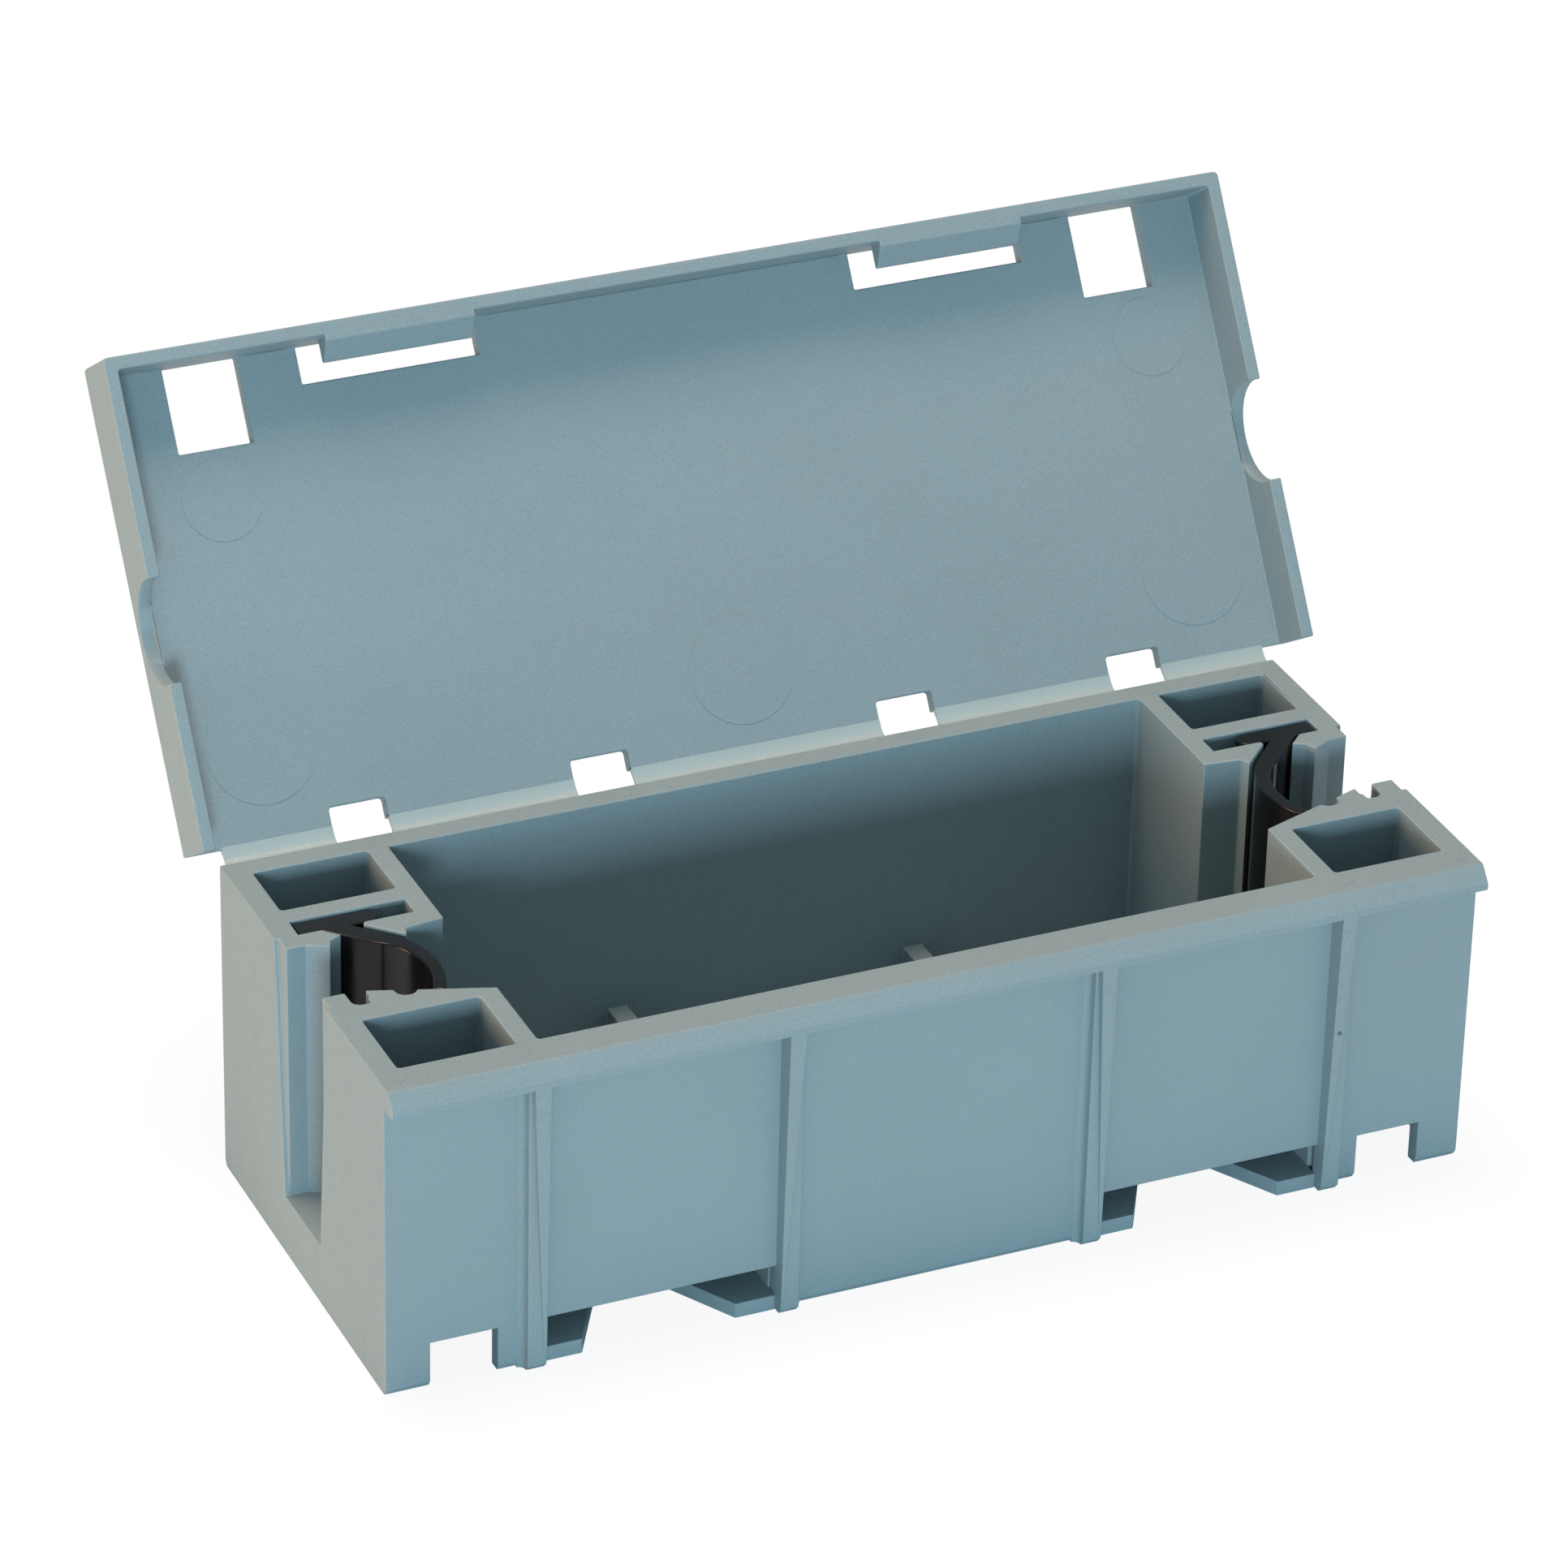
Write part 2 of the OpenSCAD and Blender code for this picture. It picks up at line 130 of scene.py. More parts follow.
def rounded(corners: Sequence[Corner], steps: int = 5) -> Outline:
    """A closed outline whose corners are rounded.

    Args:
        corners: Each corner's place and its radius; a radius of 0 leaves it sharp.
        steps: How many straight pieces stand for each round.

    Returns:
        The outline's points in order.
    """
    points: Outline = []
    for i, (x, y, radius) in enumerate(corners):
        here = Vector((x, y))
        if radius <= 0:
            points.append((x, y))
            continue
        before = Vector(corners[i - 1][:2]) - here
        after = Vector(corners[(i + 1) % len(corners)][:2]) - here
        half = before.angle(after) / 2
        reach = radius / math.tan(half)
        first = here + before.normalized() * reach
        last = here + after.normalized() * reach
        centre = here + (before.normalized() + after.normalized()).normalized() * (
            radius / math.sin(half)
        )
        a = math.atan2(first.y - centre.y, first.x - centre.x)
        b = math.atan2(last.y - centre.y, last.x - centre.x)
        turn = (b - a + math.pi) % (2 * math.pi) - math.pi
        points += arc(tuple(centre), radius, math.degrees(a), math.degrees(a + turn), steps)
    return points


def rectangle(x1: float, y1: float, x2: float, y2: float, radius: float = 0.0) -> Outline:
    """A rectangle between two corners, with round corners where radius isn't 0."""
    return rounded([(x1, y1, radius), (x2, y1, radius), (x2, y2, radius), (x1, y2, radius)])


def mirrored(outline: Outline) -> Outline:
    """The outline seen in a mirror at x = 0, still running the same way round."""
    return [(-x, y) for x, y in reversed(outline)]


def placing(
    across: Sequence[float], up: Sequence[float], along: Sequence[float], origin: Sequence[float]
) -> Matrix:
    """Where a solid goes.

    Args:
        across: The direction of an outline's first coordinate.
        up: The direction of its second coordinate.
        along: The direction in which the outline is extruded.
        origin: Where the outline's own origin lies, in millimetres.

    Returns:
        The matrix from millimetres along those three directions to the model's frame.
    """
    turned = Matrix((across, up, along)).transposed().to_4x4()
    return Matrix.Translation(Vector(origin) * MM) @ turned @ Matrix.Scale(MM, 4)


PLAN = placing((1, 0, 0), (0, 1, 0), (0, 0, 1), (0, 0, 0))
PROFILE = placing((0, 1, 0), (0, 0, 1), (1, 0, 0), (0, 0, 0))


def loft(name: str, rings: Sequence[tuple[Outline, float]], place: Matrix = PLAN) -> Piece:
    """A closed solid through outlines that have the same number of points.

    Args:
        name: The new object's name.
        rings: Each outline with its place along the extrusion, from the lowest up.
        place: Where the solid goes.

    Returns:
        The new object.
    """
    mesh = bmesh.new()
    rows = [[mesh.verts.new((x, y, z)) for x, y in ring] for ring, z in rings]
    for low, high in zip(rows, rows[1:]):
        for i in range(len(low)):
            j = (i + 1) % len(low)
            mesh.faces.new((low[i], low[j], high[j], high[i]))
    for row, flip in ((rows[0], True), (rows[-1], False)):
        corners = [Vector(v.co) for v in row]
        for triangle in tessellate_polygon([corners]):
            face = [row[k] for k in triangle]
            mesh.faces.new(face[::-1] if flip else face)
    return solid_object(name, mesh, place)


def prism(
    name: str,
    outline: Outline,
    low: float,
    high: float,
    place: Matrix = PLAN,
    holes: Sequence[Outline] = (),
) -> Piece:
    """An outline extruded from low to high, with holes right through it.

    Args:
        name: The new object's name.
        outline: The outer boundary.
        low: Where the extrusion starts.
        high: Where it ends.
        place: Where the solid goes.
        holes: Outlines of what is left open.

    Returns:
        The new object.
    """
    mesh = bmesh.new()
    loops = [outline, *holes]
    bottom: list[bmesh.types.BMVert] = []
    top: list[bmesh.types.BMVert] = []
    for loop in loops:
        low_row = [mesh.verts.new((x, y, low)) for x, y in loop]
        high_row = [mesh.verts.new((x, y, high)) for x, y in loop]
        for i in range(len(loop)):
            j = (i + 1) % len(loop)
            mesh.faces.new((low_row[i], low_row[j], high_row[j], high_row[i]))
        bottom += low_row
        top += high_row
    for triangle in tessellate_polygon([[Vector((x, y, 0)) for x, y in loop] for loop in loops]):
        mesh.faces.new([bottom[k] for k in triangle])
        mesh.faces.new([top[k] for k in triangle])
    return solid_object(name, mesh, place)


def solid_object(name: str, mesh: bmesh.types.BMesh, place: Matrix) -> Piece:
    """Puts a closed mesh into the scene, with its faces turned outwards.

    Args:
        name: The new object's name.
        mesh: The mesh, in millimetres; it is freed.
        place: Where it goes.

    Returns:
        The new object.
    """
    mesh.transform(place)
    bmesh.ops.recalc_face_normals(mesh, faces=mesh.faces)
    data = bpy.data.meshes.new(name)
    mesh.to_mesh(data)
    mesh.free()
    piece = bpy.data.objects.new(name, data)
    bpy.context.scene.collection.objects.link(piece)
    return piece


def settle(piece: Piece) -> None:
    """Applies a piece's modifiers to its mesh.

    Args:
        piece: The piece, which keeps its name.
    """
    bpy.context.view_layer.update()
    graph = bpy.context.evaluated_depsgraph_get()
    data = bpy.data.meshes.new_from_object(piece.evaluated_get(graph))
    before = piece.data
    piece.modifiers.clear()
    piece.data = data
    data.name = piece.name
    bpy.data.meshes.remove(before)


def join(piece: Piece, other: Piece, how: Join) -> None:
    """Adds one solid to another or cuts it away.

    Args:
        piece: The solid that is kept.
        other: The solid that is added or cut away; it is removed.
        how: Which of the two is done.
    """
    step = piece.modifiers.new("join", "BOOLEAN")
    step.object = other
    step.operation = how.value
    step.solver = "MANIFOLD"
    settle(piece)
    data = other.data
    bpy.data.objects.remove(other)
    bpy.data.meshes.remove(data)


def join_all(piece: Piece, others: Sequence[Piece], how: Join) -> None:
    """Joins several solids to a piece, one after another."""
    for other in others:
        join(piece, other, how)


def round_edges(piece: Piece, radius: float, segments: int = 2) -> None:
    """Cleans a moulding's flat faces and rounds its edges.

    Args:
        piece: The moulding.
        radius: The width of the rounding, in millimetres.
        segments: How many faces the rounding has.
    """
    mesh = bmesh.new()
    mesh.from_mesh(piece.data)
    bmesh.ops.remove_doubles(mesh, verts=mesh.verts, dist=WELD * MM)
    bmesh.ops.dissolve_limit(mesh, angle_limit=FLAT_TURN, verts=mesh.verts, edges=mesh.edges)
    mesh.to_mesh(piece.data)
    mesh.free()
    bevel = piece.modifiers.new("rounding", "BEVEL")
    bevel.width = radius * MM
    bevel.segments = segments
    bevel.limit_method = "ANGLE"
    bevel.angle_limit = ROUNDED_TURN
    bevel.use_clamp_overlap = False
    settle(piece)


def shade(piece: Piece) -> None:
    """Shades a moulding smoothly over its rounded edges and keeps its flat faces flat.

    Args:
        piece: The moulding.
    """
    for face in piece.data.polygons:
        face.use_smooth = True
    piece.data.set_sharp_from_angle(angle=SHARP_TURN)
    weigh = piece.modifiers.new("shading", "WEIGHTED_NORMAL")
    weigh.mode = "FACE_AREA"
    weigh.weight = 100
    weigh.keep_sharp = True
    settle(piece)


# ---------------------------------------------------------------------------- finishes


@dataclass(frozen=True)
class NodePen:
    """Writes shader nodes into one node tree."""

    tree: bpy.types.NodeTree

    def node(self, kind: str, **settings: object) -> bpy.types.Node:
        """Adds a node.

        Args:
            kind: The node's type name.
            **settings: Properties to set on it.

        Returns:
            The new node.
        """
        made = self.tree.nodes.new(kind)
        for key, value in settings.items():
            setattr(made, key, value)
        return made

    def wire(self, source: Socket, target: Socket) -> None:
        """Links an output to an input."""
        self.tree.links.new(source, target)

    def feed(self, value: Socket | float, target: Socket) -> None:
        """Gives an input a value.

        Args:
            value: An output to link, or a number to set.
            target: The input.
        """
        if isinstance(value, (int, float)):
            target.default_value = value
        else:
            self.wire(value, target)

    def noise(self, place: Socket, scale: Socket | float, detail: float) -> Socket:
        """A noise texture.

        Args:
            place: Where on the surface it is read.
            scale: How many of its features there are in a metre.
            detail: How many finer layers it has.

        Returns:
            Its value, from 0 to 1.
        """
        made = self.node("ShaderNodeTexNoise")
        self.feed(scale, made.inputs["Scale"])
        self.feed(detail, made.inputs["Detail"])
        self.wire(place, made.inputs["Vector"])
        return made.outputs[0]

    def span(self, value: Socket, source: Point, target: Point) -> Socket:
        """Maps a value from one span to another, without leaving the second one.

        Args:
            value: The value.
            source: The span that it comes from.
            target: The span that it goes to.

        Returns:
            The mapped value.
        """
        made = self.node("ShaderNodeMapRange")
        for key, number in zip(("From Min", "From Max", "To Min", "To Max"), source + target):
            made.inputs[key].default_value = number
        self.wire(value, made.inputs["Value"])
        return made.outputs["Result"]

    def maths(self, kind: str, first: Socket, second: Socket | float) -> Socket:
        """Sums, multiplies or compares two values.

        Args:
            kind: What is done with them.
            first: The first value.
            second: The second value, or a number.

        Returns:
            The outcome.
        """
        made = self.node("ShaderNodeMath", operation=kind)
        self.wire(first, made.inputs[0])
        self.feed(second, made.inputs[1])
        return made.outputs[0]

    def blend(self, amount: Socket, first: Socket, second: Colour) -> Socket:
        """Mixes a colour with a plain one.

        Args:
            amount: How much of the second one shows.
            first: The colour where the amount is 0.
            second: The plain colour where the amount is 1.

        Returns:
            The mixed colour.
        """
        made = self.node("ShaderNodeMix", data_type="RGBA")
        self.wire(amount, made.inputs["Factor"])
        under, over = (s for s in made.inputs if s.type == "RGBA")
        self.wire(first, under)
        over.default_value = (*second, 1.0)
        return next(s for s in made.outputs if s.type == "RGBA")


def new_group(
    name: str, inputs: Sequence[tuple[str, str, object]], outputs: Sequence[tuple[str, str]]
) -> bpy.types.NodeTree:
    """An empty shader group with named sockets.

    Args:
        name: The group's name.
        inputs: Each input's name, socket type and default value.
        outputs: Each output's name and socket type.

    Returns:
        The group.
    """
    group = bpy.data.node_groups.new(name, "ShaderNodeTree")
    for label, kind, value in inputs:
        socket = group.interface.new_socket(label, in_out="INPUT", socket_type=kind)
        if value is not None:
            socket.default_value = value
    for label, kind in outputs:
        group.interface.new_socket(label, in_out="OUTPUT", socket_type=kind)
    return group


FLOAT, COLOUR, VECTOR = "NodeSocketFloat", "NodeSocketColor", "NodeSocketVector"
DRIFT_SCALE, STREAK_SCALE, PATCH_SCALE = 60.0, 420.0, 35.0  # features in a metre
NOISE_MIDDLE = 0.5
STREAK_SPAN = (0.3, 0.7)  # the values that the streaks' noise mostly takes
PATCH_LEVEL = 0.52  # specks lie only where the patches' noise is above this


def moulded_grain() -> bpy.types.NodeTree:
    """Fine eroded grain of a moulded surface, with slow drifts in its tone.

    Returns:
        A group from a place and a colour to a colour, a gloss mask and a height.
    """
    group = new_group(
        "moulded_grain",
        [
            ("Place", VECTOR, None),
            ("Colour", COLOUR, (0.5, 0.5, 0.5, 1.0)),
            ("Grain scale", FLOAT, 5000.0),
            ("Grain tone", FLOAT, 0.06),
            ("Drift tone", FLOAT, 0.05),
        ],
        [("Colour", COLOUR), ("Gloss", FLOAT), ("Height", FLOAT)],
    )
    pen = NodePen(group)
    given = pen.node("NodeGroupInput").outputs
    wanted = pen.node("NodeGroupOutput").inputs
    grain = pen.noise(given["Place"], given["Grain scale"], 2.0)
    drift = pen.noise(given["Place"], DRIFT_SCALE, 3.0)
    streaks = pen.noise(given["Place"], STREAK_SCALE, 4.0)
    tones = []
    for noise, tone in ((grain, "Grain tone"), (drift, "Drift tone")):
        tones.append(pen.maths("MULTIPLY", pen.maths("SUBTRACT", noise, NOISE_MIDDLE), given[tone]))
    both = pen.maths("ADD", *tones)
    factor = pen.maths("ADD", pen.maths("MULTIPLY", both, 1 / NOISE_MIDDLE), 1.0)
    scaled = pen.node("ShaderNodeVectorMath", operation="SCALE")
    pen.wire(given["Colour"], scaled.inputs[0])
    pen.wire(factor, scaled.inputs["Scale"])
    pen.wire(scaled.outputs[0], wanted["Colour"])
    pen.wire(streaks, wanted["Gloss"])
    pen.wire(grain, wanted["Height"])
    return group


def stray_specks() -> bpy.types.NodeTree:
    """Sparse dark specks, such as burnt flecks in the plastic and dust on it.

    Returns:
        A group from a place to a mask that is 1 on a speck.
    """
    group = new_group(
        "stray_specks",
        [("Place", VECTOR, None), ("Spacing", FLOAT, 90.0), ("Size", FLOAT, 0.02)],
        [("Speck", FLOAT)],
    )
    pen = NodePen(group)
    given = pen.node("NodeGroupInput").outputs
    wanted = pen.node("NodeGroupOutput").inputs
    cells = pen.node("ShaderNodeTexVoronoi")
    pen.wire(given["Place"], cells.inputs["Vector"])
    pen.wire(given["Spacing"], cells.inputs["Scale"])
    near = pen.maths("LESS_THAN", cells.outputs["Distance"], given["Size"])
    patches = pen.noise(given["Place"], PATCH_SCALE, 1.0)
    here = pen.maths("GREATER_THAN", patches, PATCH_LEVEL)
    pen.wire(pen.maths("MULTIPLY", near, here), wanted["Speck"])
    return group


@dataclass(frozen=True)
class MouldedPlastic:
    """A plastic moulding's finish."""

    name: str
    colour: Colour
    fleck: Colour
    roughness: Point
    grain_scale: float
    grain_tone: float
    drift_tone: float
    grain_depth: float
    gloss_level: float
    through_light: float = 0.0
    light_depth: float = 0.6

    def material(self, groups: dict[str, bpy.types.NodeTree]) -> bpy.types.Material:
        """The finish as a material.

        Args:
            groups: The shared shader groups by name.

        Returns:
            The new material.
        """
        made = bpy.data.materials.new(self.name)
        made.use_nodes = True
        made.node_tree.nodes.clear()
        pen = NodePen(made.node_tree)
        place = pen.node("ShaderNodeTexCoord").outputs["Object"]
        grain = pen.node("ShaderNodeGroup", node_tree=groups["grain"])
        pen.wire(place, grain.inputs["Place"])
        grain.inputs["Colour"].default_value = (*self.colour, 1.0)
        grain.inputs["Grain scale"].default_value = self.grain_scale
        grain.inputs["Grain tone"].default_value = self.grain_tone
        grain.inputs["Drift tone"].default_value = self.drift_tone
        specks = pen.node("ShaderNodeGroup", node_tree=groups["specks"])
        pen.wire(place, specks.inputs["Place"])
        colour = pen.blend(specks.outputs["Speck"], grain.outputs["Colour"], self.fleck)
        shader = pen.node("ShaderNodeBsdfPrincipled")
        pen.wire(colour, shader.inputs["Base Color"])
        rough = pen.span(grain.outputs["Gloss"], STREAK_SPAN, self.roughness)
        pen.wire(rough, shader.inputs["Roughness"])
        shader.inputs["Specular IOR Level"].default_value = self.gloss_level
        shader.inputs["Subsurface Weight"].default_value = self.through_light
        shader.inputs["Subsurface Radius"].default_value = (1.0, 1.0, 1.0)
        shader.inputs["Subsurface Scale"].default_value = self.light_depth * MM
        bump = pen.node("ShaderNodeBump")
        bump.inputs["Strength"].default_value = 1.0
        bump.inputs["Distance"].default_value = self.grain_depth * MM
        pen.wire(grain.outputs["Height"], bump.inputs["Height"])
        pen.wire(bump.outputs["Normal"], shader.inputs["Normal"])
        out = pen.node("ShaderNodeOutputMaterial")
        pen.wire(shader.outputs[0], out.inputs["Surface"])
        return made


HOUSING = MouldedPlastic(
    name="light_blue_grey_moulding",
    colour=(0.23, 0.31, 0.335),
    fleck=(0.10, 0.12, 0.13),
    roughness=(0.5, 0.62),
    grain_scale=6500.0,
    grain_tone=0.2,
    drift_tone=0.05,
    grain_depth=0.006,
    gloss_level=0.4,
    through_light=0.05,
)
FILM = MouldedPlastic(
    name="stretched_film",
    colour=(0.36, 0.44, 0.44),
    fleck=(0.20, 0.24, 0.25),
    roughness=(0.2, 0.3),
    grain_scale=4000.0,
    grain_tone=0.03,
    drift_tone=0.04,
    grain_depth=0.001,
    gloss_level=0.6,
)
CLAMP = MouldedPlastic(
    name="glossy_black_moulding",
    colour=(0.004, 0.004, 0.0045),
    fleck=(0.03, 0.03, 0.03),
    roughness=(0.14, 0.26),
    grain_scale=1500.0,
    grain_tone=0.10,
    drift_tone=0.10,
    grain_depth=0.002,
    gloss_level=0.35,
)


class Finish(Enum):
    """The box's finishes, each with the record's slot that it stands for."""

    HOUSING = ("housing", HOUSING)
    FILM = ("film", FILM)
    CLAMP = ("clamp", CLAMP)


class Paint:
    """Hands each piece its material."""

    def __init__(self) -> None:
        """Makes the shared groups and the three materials."""
        groups = {"grain": moulded_grain(), "specks": stray_specks()}
        self.materials = {finish: finish.value[1].material(groups) for finish in Finish}

    def dress(self, piece: Piece, finish: Finish) -> None:
        """Gives a piece a finish.

        Args:
            piece: The piece.
            finish: Its finish.
        """
        piece.data.materials.clear()
        piece.data.materials.append(self.materials[finish])


# ------------------------------------------------------------------------ corner posts


@dataclass
class CornerPosts:
    """The plan of the posts at one end, in distances from that end and from the front.

    A detail's place is given past the end wall and behind the edge that it stands at.
    """

    tray_width: float
    end_wall: float = 2.1
    front_wall: float = 2.4
    back_wall: float = 2.1
    pocket_length: float = 9.8
    front_pocket: float = 7.6
    back_pocket: float = 6.4
    pocket_round: float = 0.3
    web: float = 1.8
    slot_width: float = 2.1
    behind_slot: float = 1.9
    before_slot: float = 1.8
    gap_front: float = 14.35
    frame_depth: float = 0.4
    # the notch behind the front frame, at the gap's front edge, and each corner's radius
    notch: tuple[Corner, ...] = (
        (0.2, 0.0, 0.0),
        (0.2, -2.1, 0.75),
        (1.62, -2.1, 0.3),
        (1.62, -1.35, 0.0),
        (1.85, -1.15, 0.0),
    )
    slope_start: Point = (1.85, -0.2)
    slope_fall: float = 3.35  # from its start to the posts' inner end
    bite_place: Point = (4.85, 0.1)  # behind the sloping face
    bite_radius: float = 0.9
    bite_turn: Point = (168.0, 334.0)
    frame_round: Corner = (-0.1, 0.0, 0.3)  # the back frame's corner at the gap's back edge
    # the ridge before the slot's mouth, from the mouth's outer lip and the gap's back edge
    ridge: tuple[Point, Point] = ((-1.45, -0.91), (-1.1, 0.0))
    outer_mouth: Point = (3.15, 0.55)
    inner_mouth: Point = (5.35, -0.4)
    mouth_flare: Point = (-1.3, 0.15)  # along the slot, from each lip of its mouth
    step: tuple[Point, Point] = ((8.0, -1.2), (8.3, -0.35))  # beyond the mouth

    @property
    def length(self) -> float:
        """The posts' length along the box."""
        return self.end_wall + self.pocket_length + self.web

    @property
    def slot_back(self) -> float:
        """Where the clamp's slot ends, towards the back."""
        return self.tray_width - self.back_wall - self.back_pocket - self.behind_slot

    @property
    def slot_front(self) -> float:
        """Where the clamp's slot starts."""
        return self.slot_back - self.slot_width

    @property
    def gap_back(self) -> float:
        """Where the cable gap ends, towards the back."""
        return self.slot_front - self.before_slot

    @property
    def outer_lip(self) -> Point:
        """The outer lip of the slot's mouth."""
        return (self.end_wall + self.outer_mouth[0], self.gap_back + self.outer_mouth[1])

    @property
    def inner_lip(self) -> Point:
        """The inner lip of the slot's mouth."""
        return (self.end_wall + self.inner_mouth[0], self.slot_front + self.inner_mouth[1])

    def slope(self, e: float) -> float:
        """How far back the front post's sloping face is.

        Args:
            e: The distance from the end.

        Returns:
            The distance from the front.
        """
        start = self.end_wall + self.slope_start[0]
        fall = self.slope_fall / (self.length - start)
        return self.gap_front + self.slope_start[1] - fall * (e - start)

    def front_path(self) -> list[Corner]:
        """The front post's face from the end wall's front corner to the tray's inside.

        Returns:
            Each corner with its radius.
        """
        e, gap = self.end_wall, self.gap_front
        path = [(0.0, 0.0, 0.0), (0.0, gap, 0.0)]
        path += [(e + x, gap + y, radius) for x, y, radius in self.notch]
        start, middle = e + self.slope_start[0], e + self.bite_place[0]
        path.append((start, self.slope(start), 0.0))
        centre = (middle, self.slope(middle) + self.bite_place[1])
        path += [(x, y, 0.0) for x, y in arc(centre, self.bite_radius, *self.bite_turn, 12)]
        path.append((self.length, self.slope(self.length), 0.0))
        path.append((self.length, self.front_wall, self.pocket_round))
        return path

    def back_path(self) -> list[Corner]:
        """The back post's face from the end wall's back corner to the tray's inside.

        Returns:
            Each corner with its radius.
        """
        e, gap, slot = self.end_wall, self.gap_back, self.slot_front
        outer, inner, far = self.outer_lip, self.inner_lip, e + self.pocket_length
        sharp = [(outer[0] + x, gap + y) for x, y in self.ridge]
        sharp += [outer, (outer[0] + self.mouth_flare[0], slot), (e, slot)]
        sharp += [(e, self.slot_back), (far, self.slot_back), (far, slot)]
        sharp += [(inner[0] + self.mouth_flare[1], slot), inner]
        sharp += [(e + x, gap + y) for x, y in self.step]
        x, y, radius = self.frame_round
        path = [(0.0, self.tray_width, 0.0), (0.0, gap, 0.0), (e + x, gap + y, radius)]
        path += [(*point, 0.0) for point in [*sharp, (self.length, gap)]]
        path.append((self.length, self.tray_width - self.back_wall, self.pocket_round))
        return path

    def pockets(self) -> list[Outline]:
        """The front pocket's outline and the back pocket's.

        Returns:
            The two outlines.
        """
        e, far, wide = self.end_wall, self.end_wall + self.pocket_length, self.pocket_round
        back = self.tray_width - self.back_wall
        front = rectangle(e, self.front_wall, far, self.front_wall + self.front_pocket, wide)
        return [front, rectangle(e, back - self.back_pocket, far, back, wide)]


# -------------------------------------------------------------------------------- tray


@dataclass
class Tray:
    """The moulded tray with its posts, lip, ribs, skirt and screw slots."""

    name: str = "tray_moulding"
    floor: float = 1.3
    skirt: float = 1.4
    under_floor: float = 0.4  # how far what stands under the floor reaches up into it
    lip_top: float = 0.75
    lip_out: float = 1.85
    lip_height: float = 1.95
    lip_band: float = 0.6
    lip_root: float = 0.5
    rib_width: float = 1.6
    rib_out: float = 1.1
    rib_root: float = 0.6
    rib_fillet: float = 0.55
    rib_draw: Point = (0.5, 0.55)  # how much the bottom is drawn in, and how far up
    wedge_start: float = 1.2
    wedge_foot: Point = (0.25, 0.06)  # its width, and how far it stands out of the rib
    wedge_width: float = 1.4
    rib_side: float = 10.05  # from the middle of a screw slot to the ribs beside it
    screw_spacing: float = 48.5
    shank: float = 4.3  # the width of a screw slot's seat
    mouth: float = 13.2  # the width of a screw slot at the tray's front
    funnel_length: float = 7.8
    slot_past_middle: float = 6.0
    plate: float = 1.35
    foot_ends: tuple[Point, Point] = ((0.3, 3.8), (9.5, 11.2))
    foot_draw: Point = (0.35, 0.55)
    foot_gap: float = 0.05  # between the middle feet and the screw slots' walls
    frame_taper: float = 1.8  # how much wider a cable gap's frame is at the top
    stop_size: Place = (1.8, 5.0, 3.3)
    stop_from_rib: float = 0.7
    pin_places: Point = (1.5, 11.8)
    pin_from_front: float = 1.1
    pin_radius: float = 0.75
    pin_height: float = 0.03
    rounding: float = 0.13
    small_rounding: float = 0.08
    low: Vector = field(init=False)
    high: Vector = field(init=False)
    posts: CornerPosts = field(init=False)

    def __post_init__(self) -> None:
        """Takes the tray's overall size from the frame."""
        low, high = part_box("base_tray")
        self.low, self.high = Vector(low) / MM, Vector(high) / MM
        self.posts = CornerPosts(tray_width=self.high.y - self.low.y)

    def end_place(self, e: float, f: float) -> Point:
        """The plan position of a point at e from the left end and f from the front."""
        return (self.low.x + e, self.low.y + f)

    def wall_solids(self) -> list[Piece]:
        """The front and back walls, each with the two posts at its ends.

        Returns:
            The two solids.
        """
        solids = []
        paths = (self.posts.front_path(), self.posts.back_path())
        for label, path, pocket in zip(("front", "back"), paths, self.posts.pockets()):
            left = [(*self.end_place(x, y), radius) for x, y, radius in path]
            right = [(-x, y, radius) for x, y, radius in reversed(left)]
            hole = [self.end_place(x, y) for x, y in pocket]
            holes = [hole, mirrored(hole)]
            outline = rounded(left + right)
            wall = prism(f"{label}_wall", outline, self.low.z, self.high.z, holes=holes)
            solids.append(wall)
        return solids

    def floor_solid(self) -> Piece:
        """The floor, which joins the two walls."""
        outline = rectangle(self.low.x, self.low.y, self.high.x, self.high.y)
        return prism("floor", outline, self.low.z, self.low.z + self.floor)

    def lip_solid(self) -> Piece:
        """The lip along the front edge, with its sloping top and upright band.

        Returns:
            The lip.
        """
        y, top = self.low.y, self.high.z
        low = top - self.lip_height
        profile = [
            (y + self.lip_root, low),
            (y - self.lip_out, low),
            (y - self.lip_out, low + self.lip_band),
            (y - self.lip_top, top),
            (y + self.lip_root, top),
        ]
        return prism("lip", profile, self.low.x, self.high.x, PROFILE)

    def rib_solids(self, side: Side, outward: int) -> list[Piece]:
        """One front rib.

        Args:
            side: The screw slot that the rib stands beside.
            outward: 1 if the rib is on the slot's outer side, -1 on its inner side.

        Returns:
            The rib's pad, and the wedge on it that runs out of the lip.
        """
        sign = side.value * outward
        plain = side.value * self.screw_spacing / 2 + sign * self.rib_side
        top = self.high.z - self.lip_height + ROOT
        far = self.rib_width + self.rib_fillet
        hollow = arc((far, self.rib_fillet), self.rib_fillet, 270, 180, 5)[::-1]

        def plan(points: Sequence[Point]) -> Outline:
            """Points given from the plain side outwards and from the wall forwards."""
            placed = [(plain + sign * a, self.low.y - b) for a, b in points]
            return placed if sign < 0 else placed[::-1]

        def pad(out: float) -> Outline:
            """The pad's plan where it stands out by a distance."""
            corners = [(0, -self.rib_root), (0, out), (self.rib_width, out)]
            return plan([*corners, *hollow, (far, -self.rib_root)])

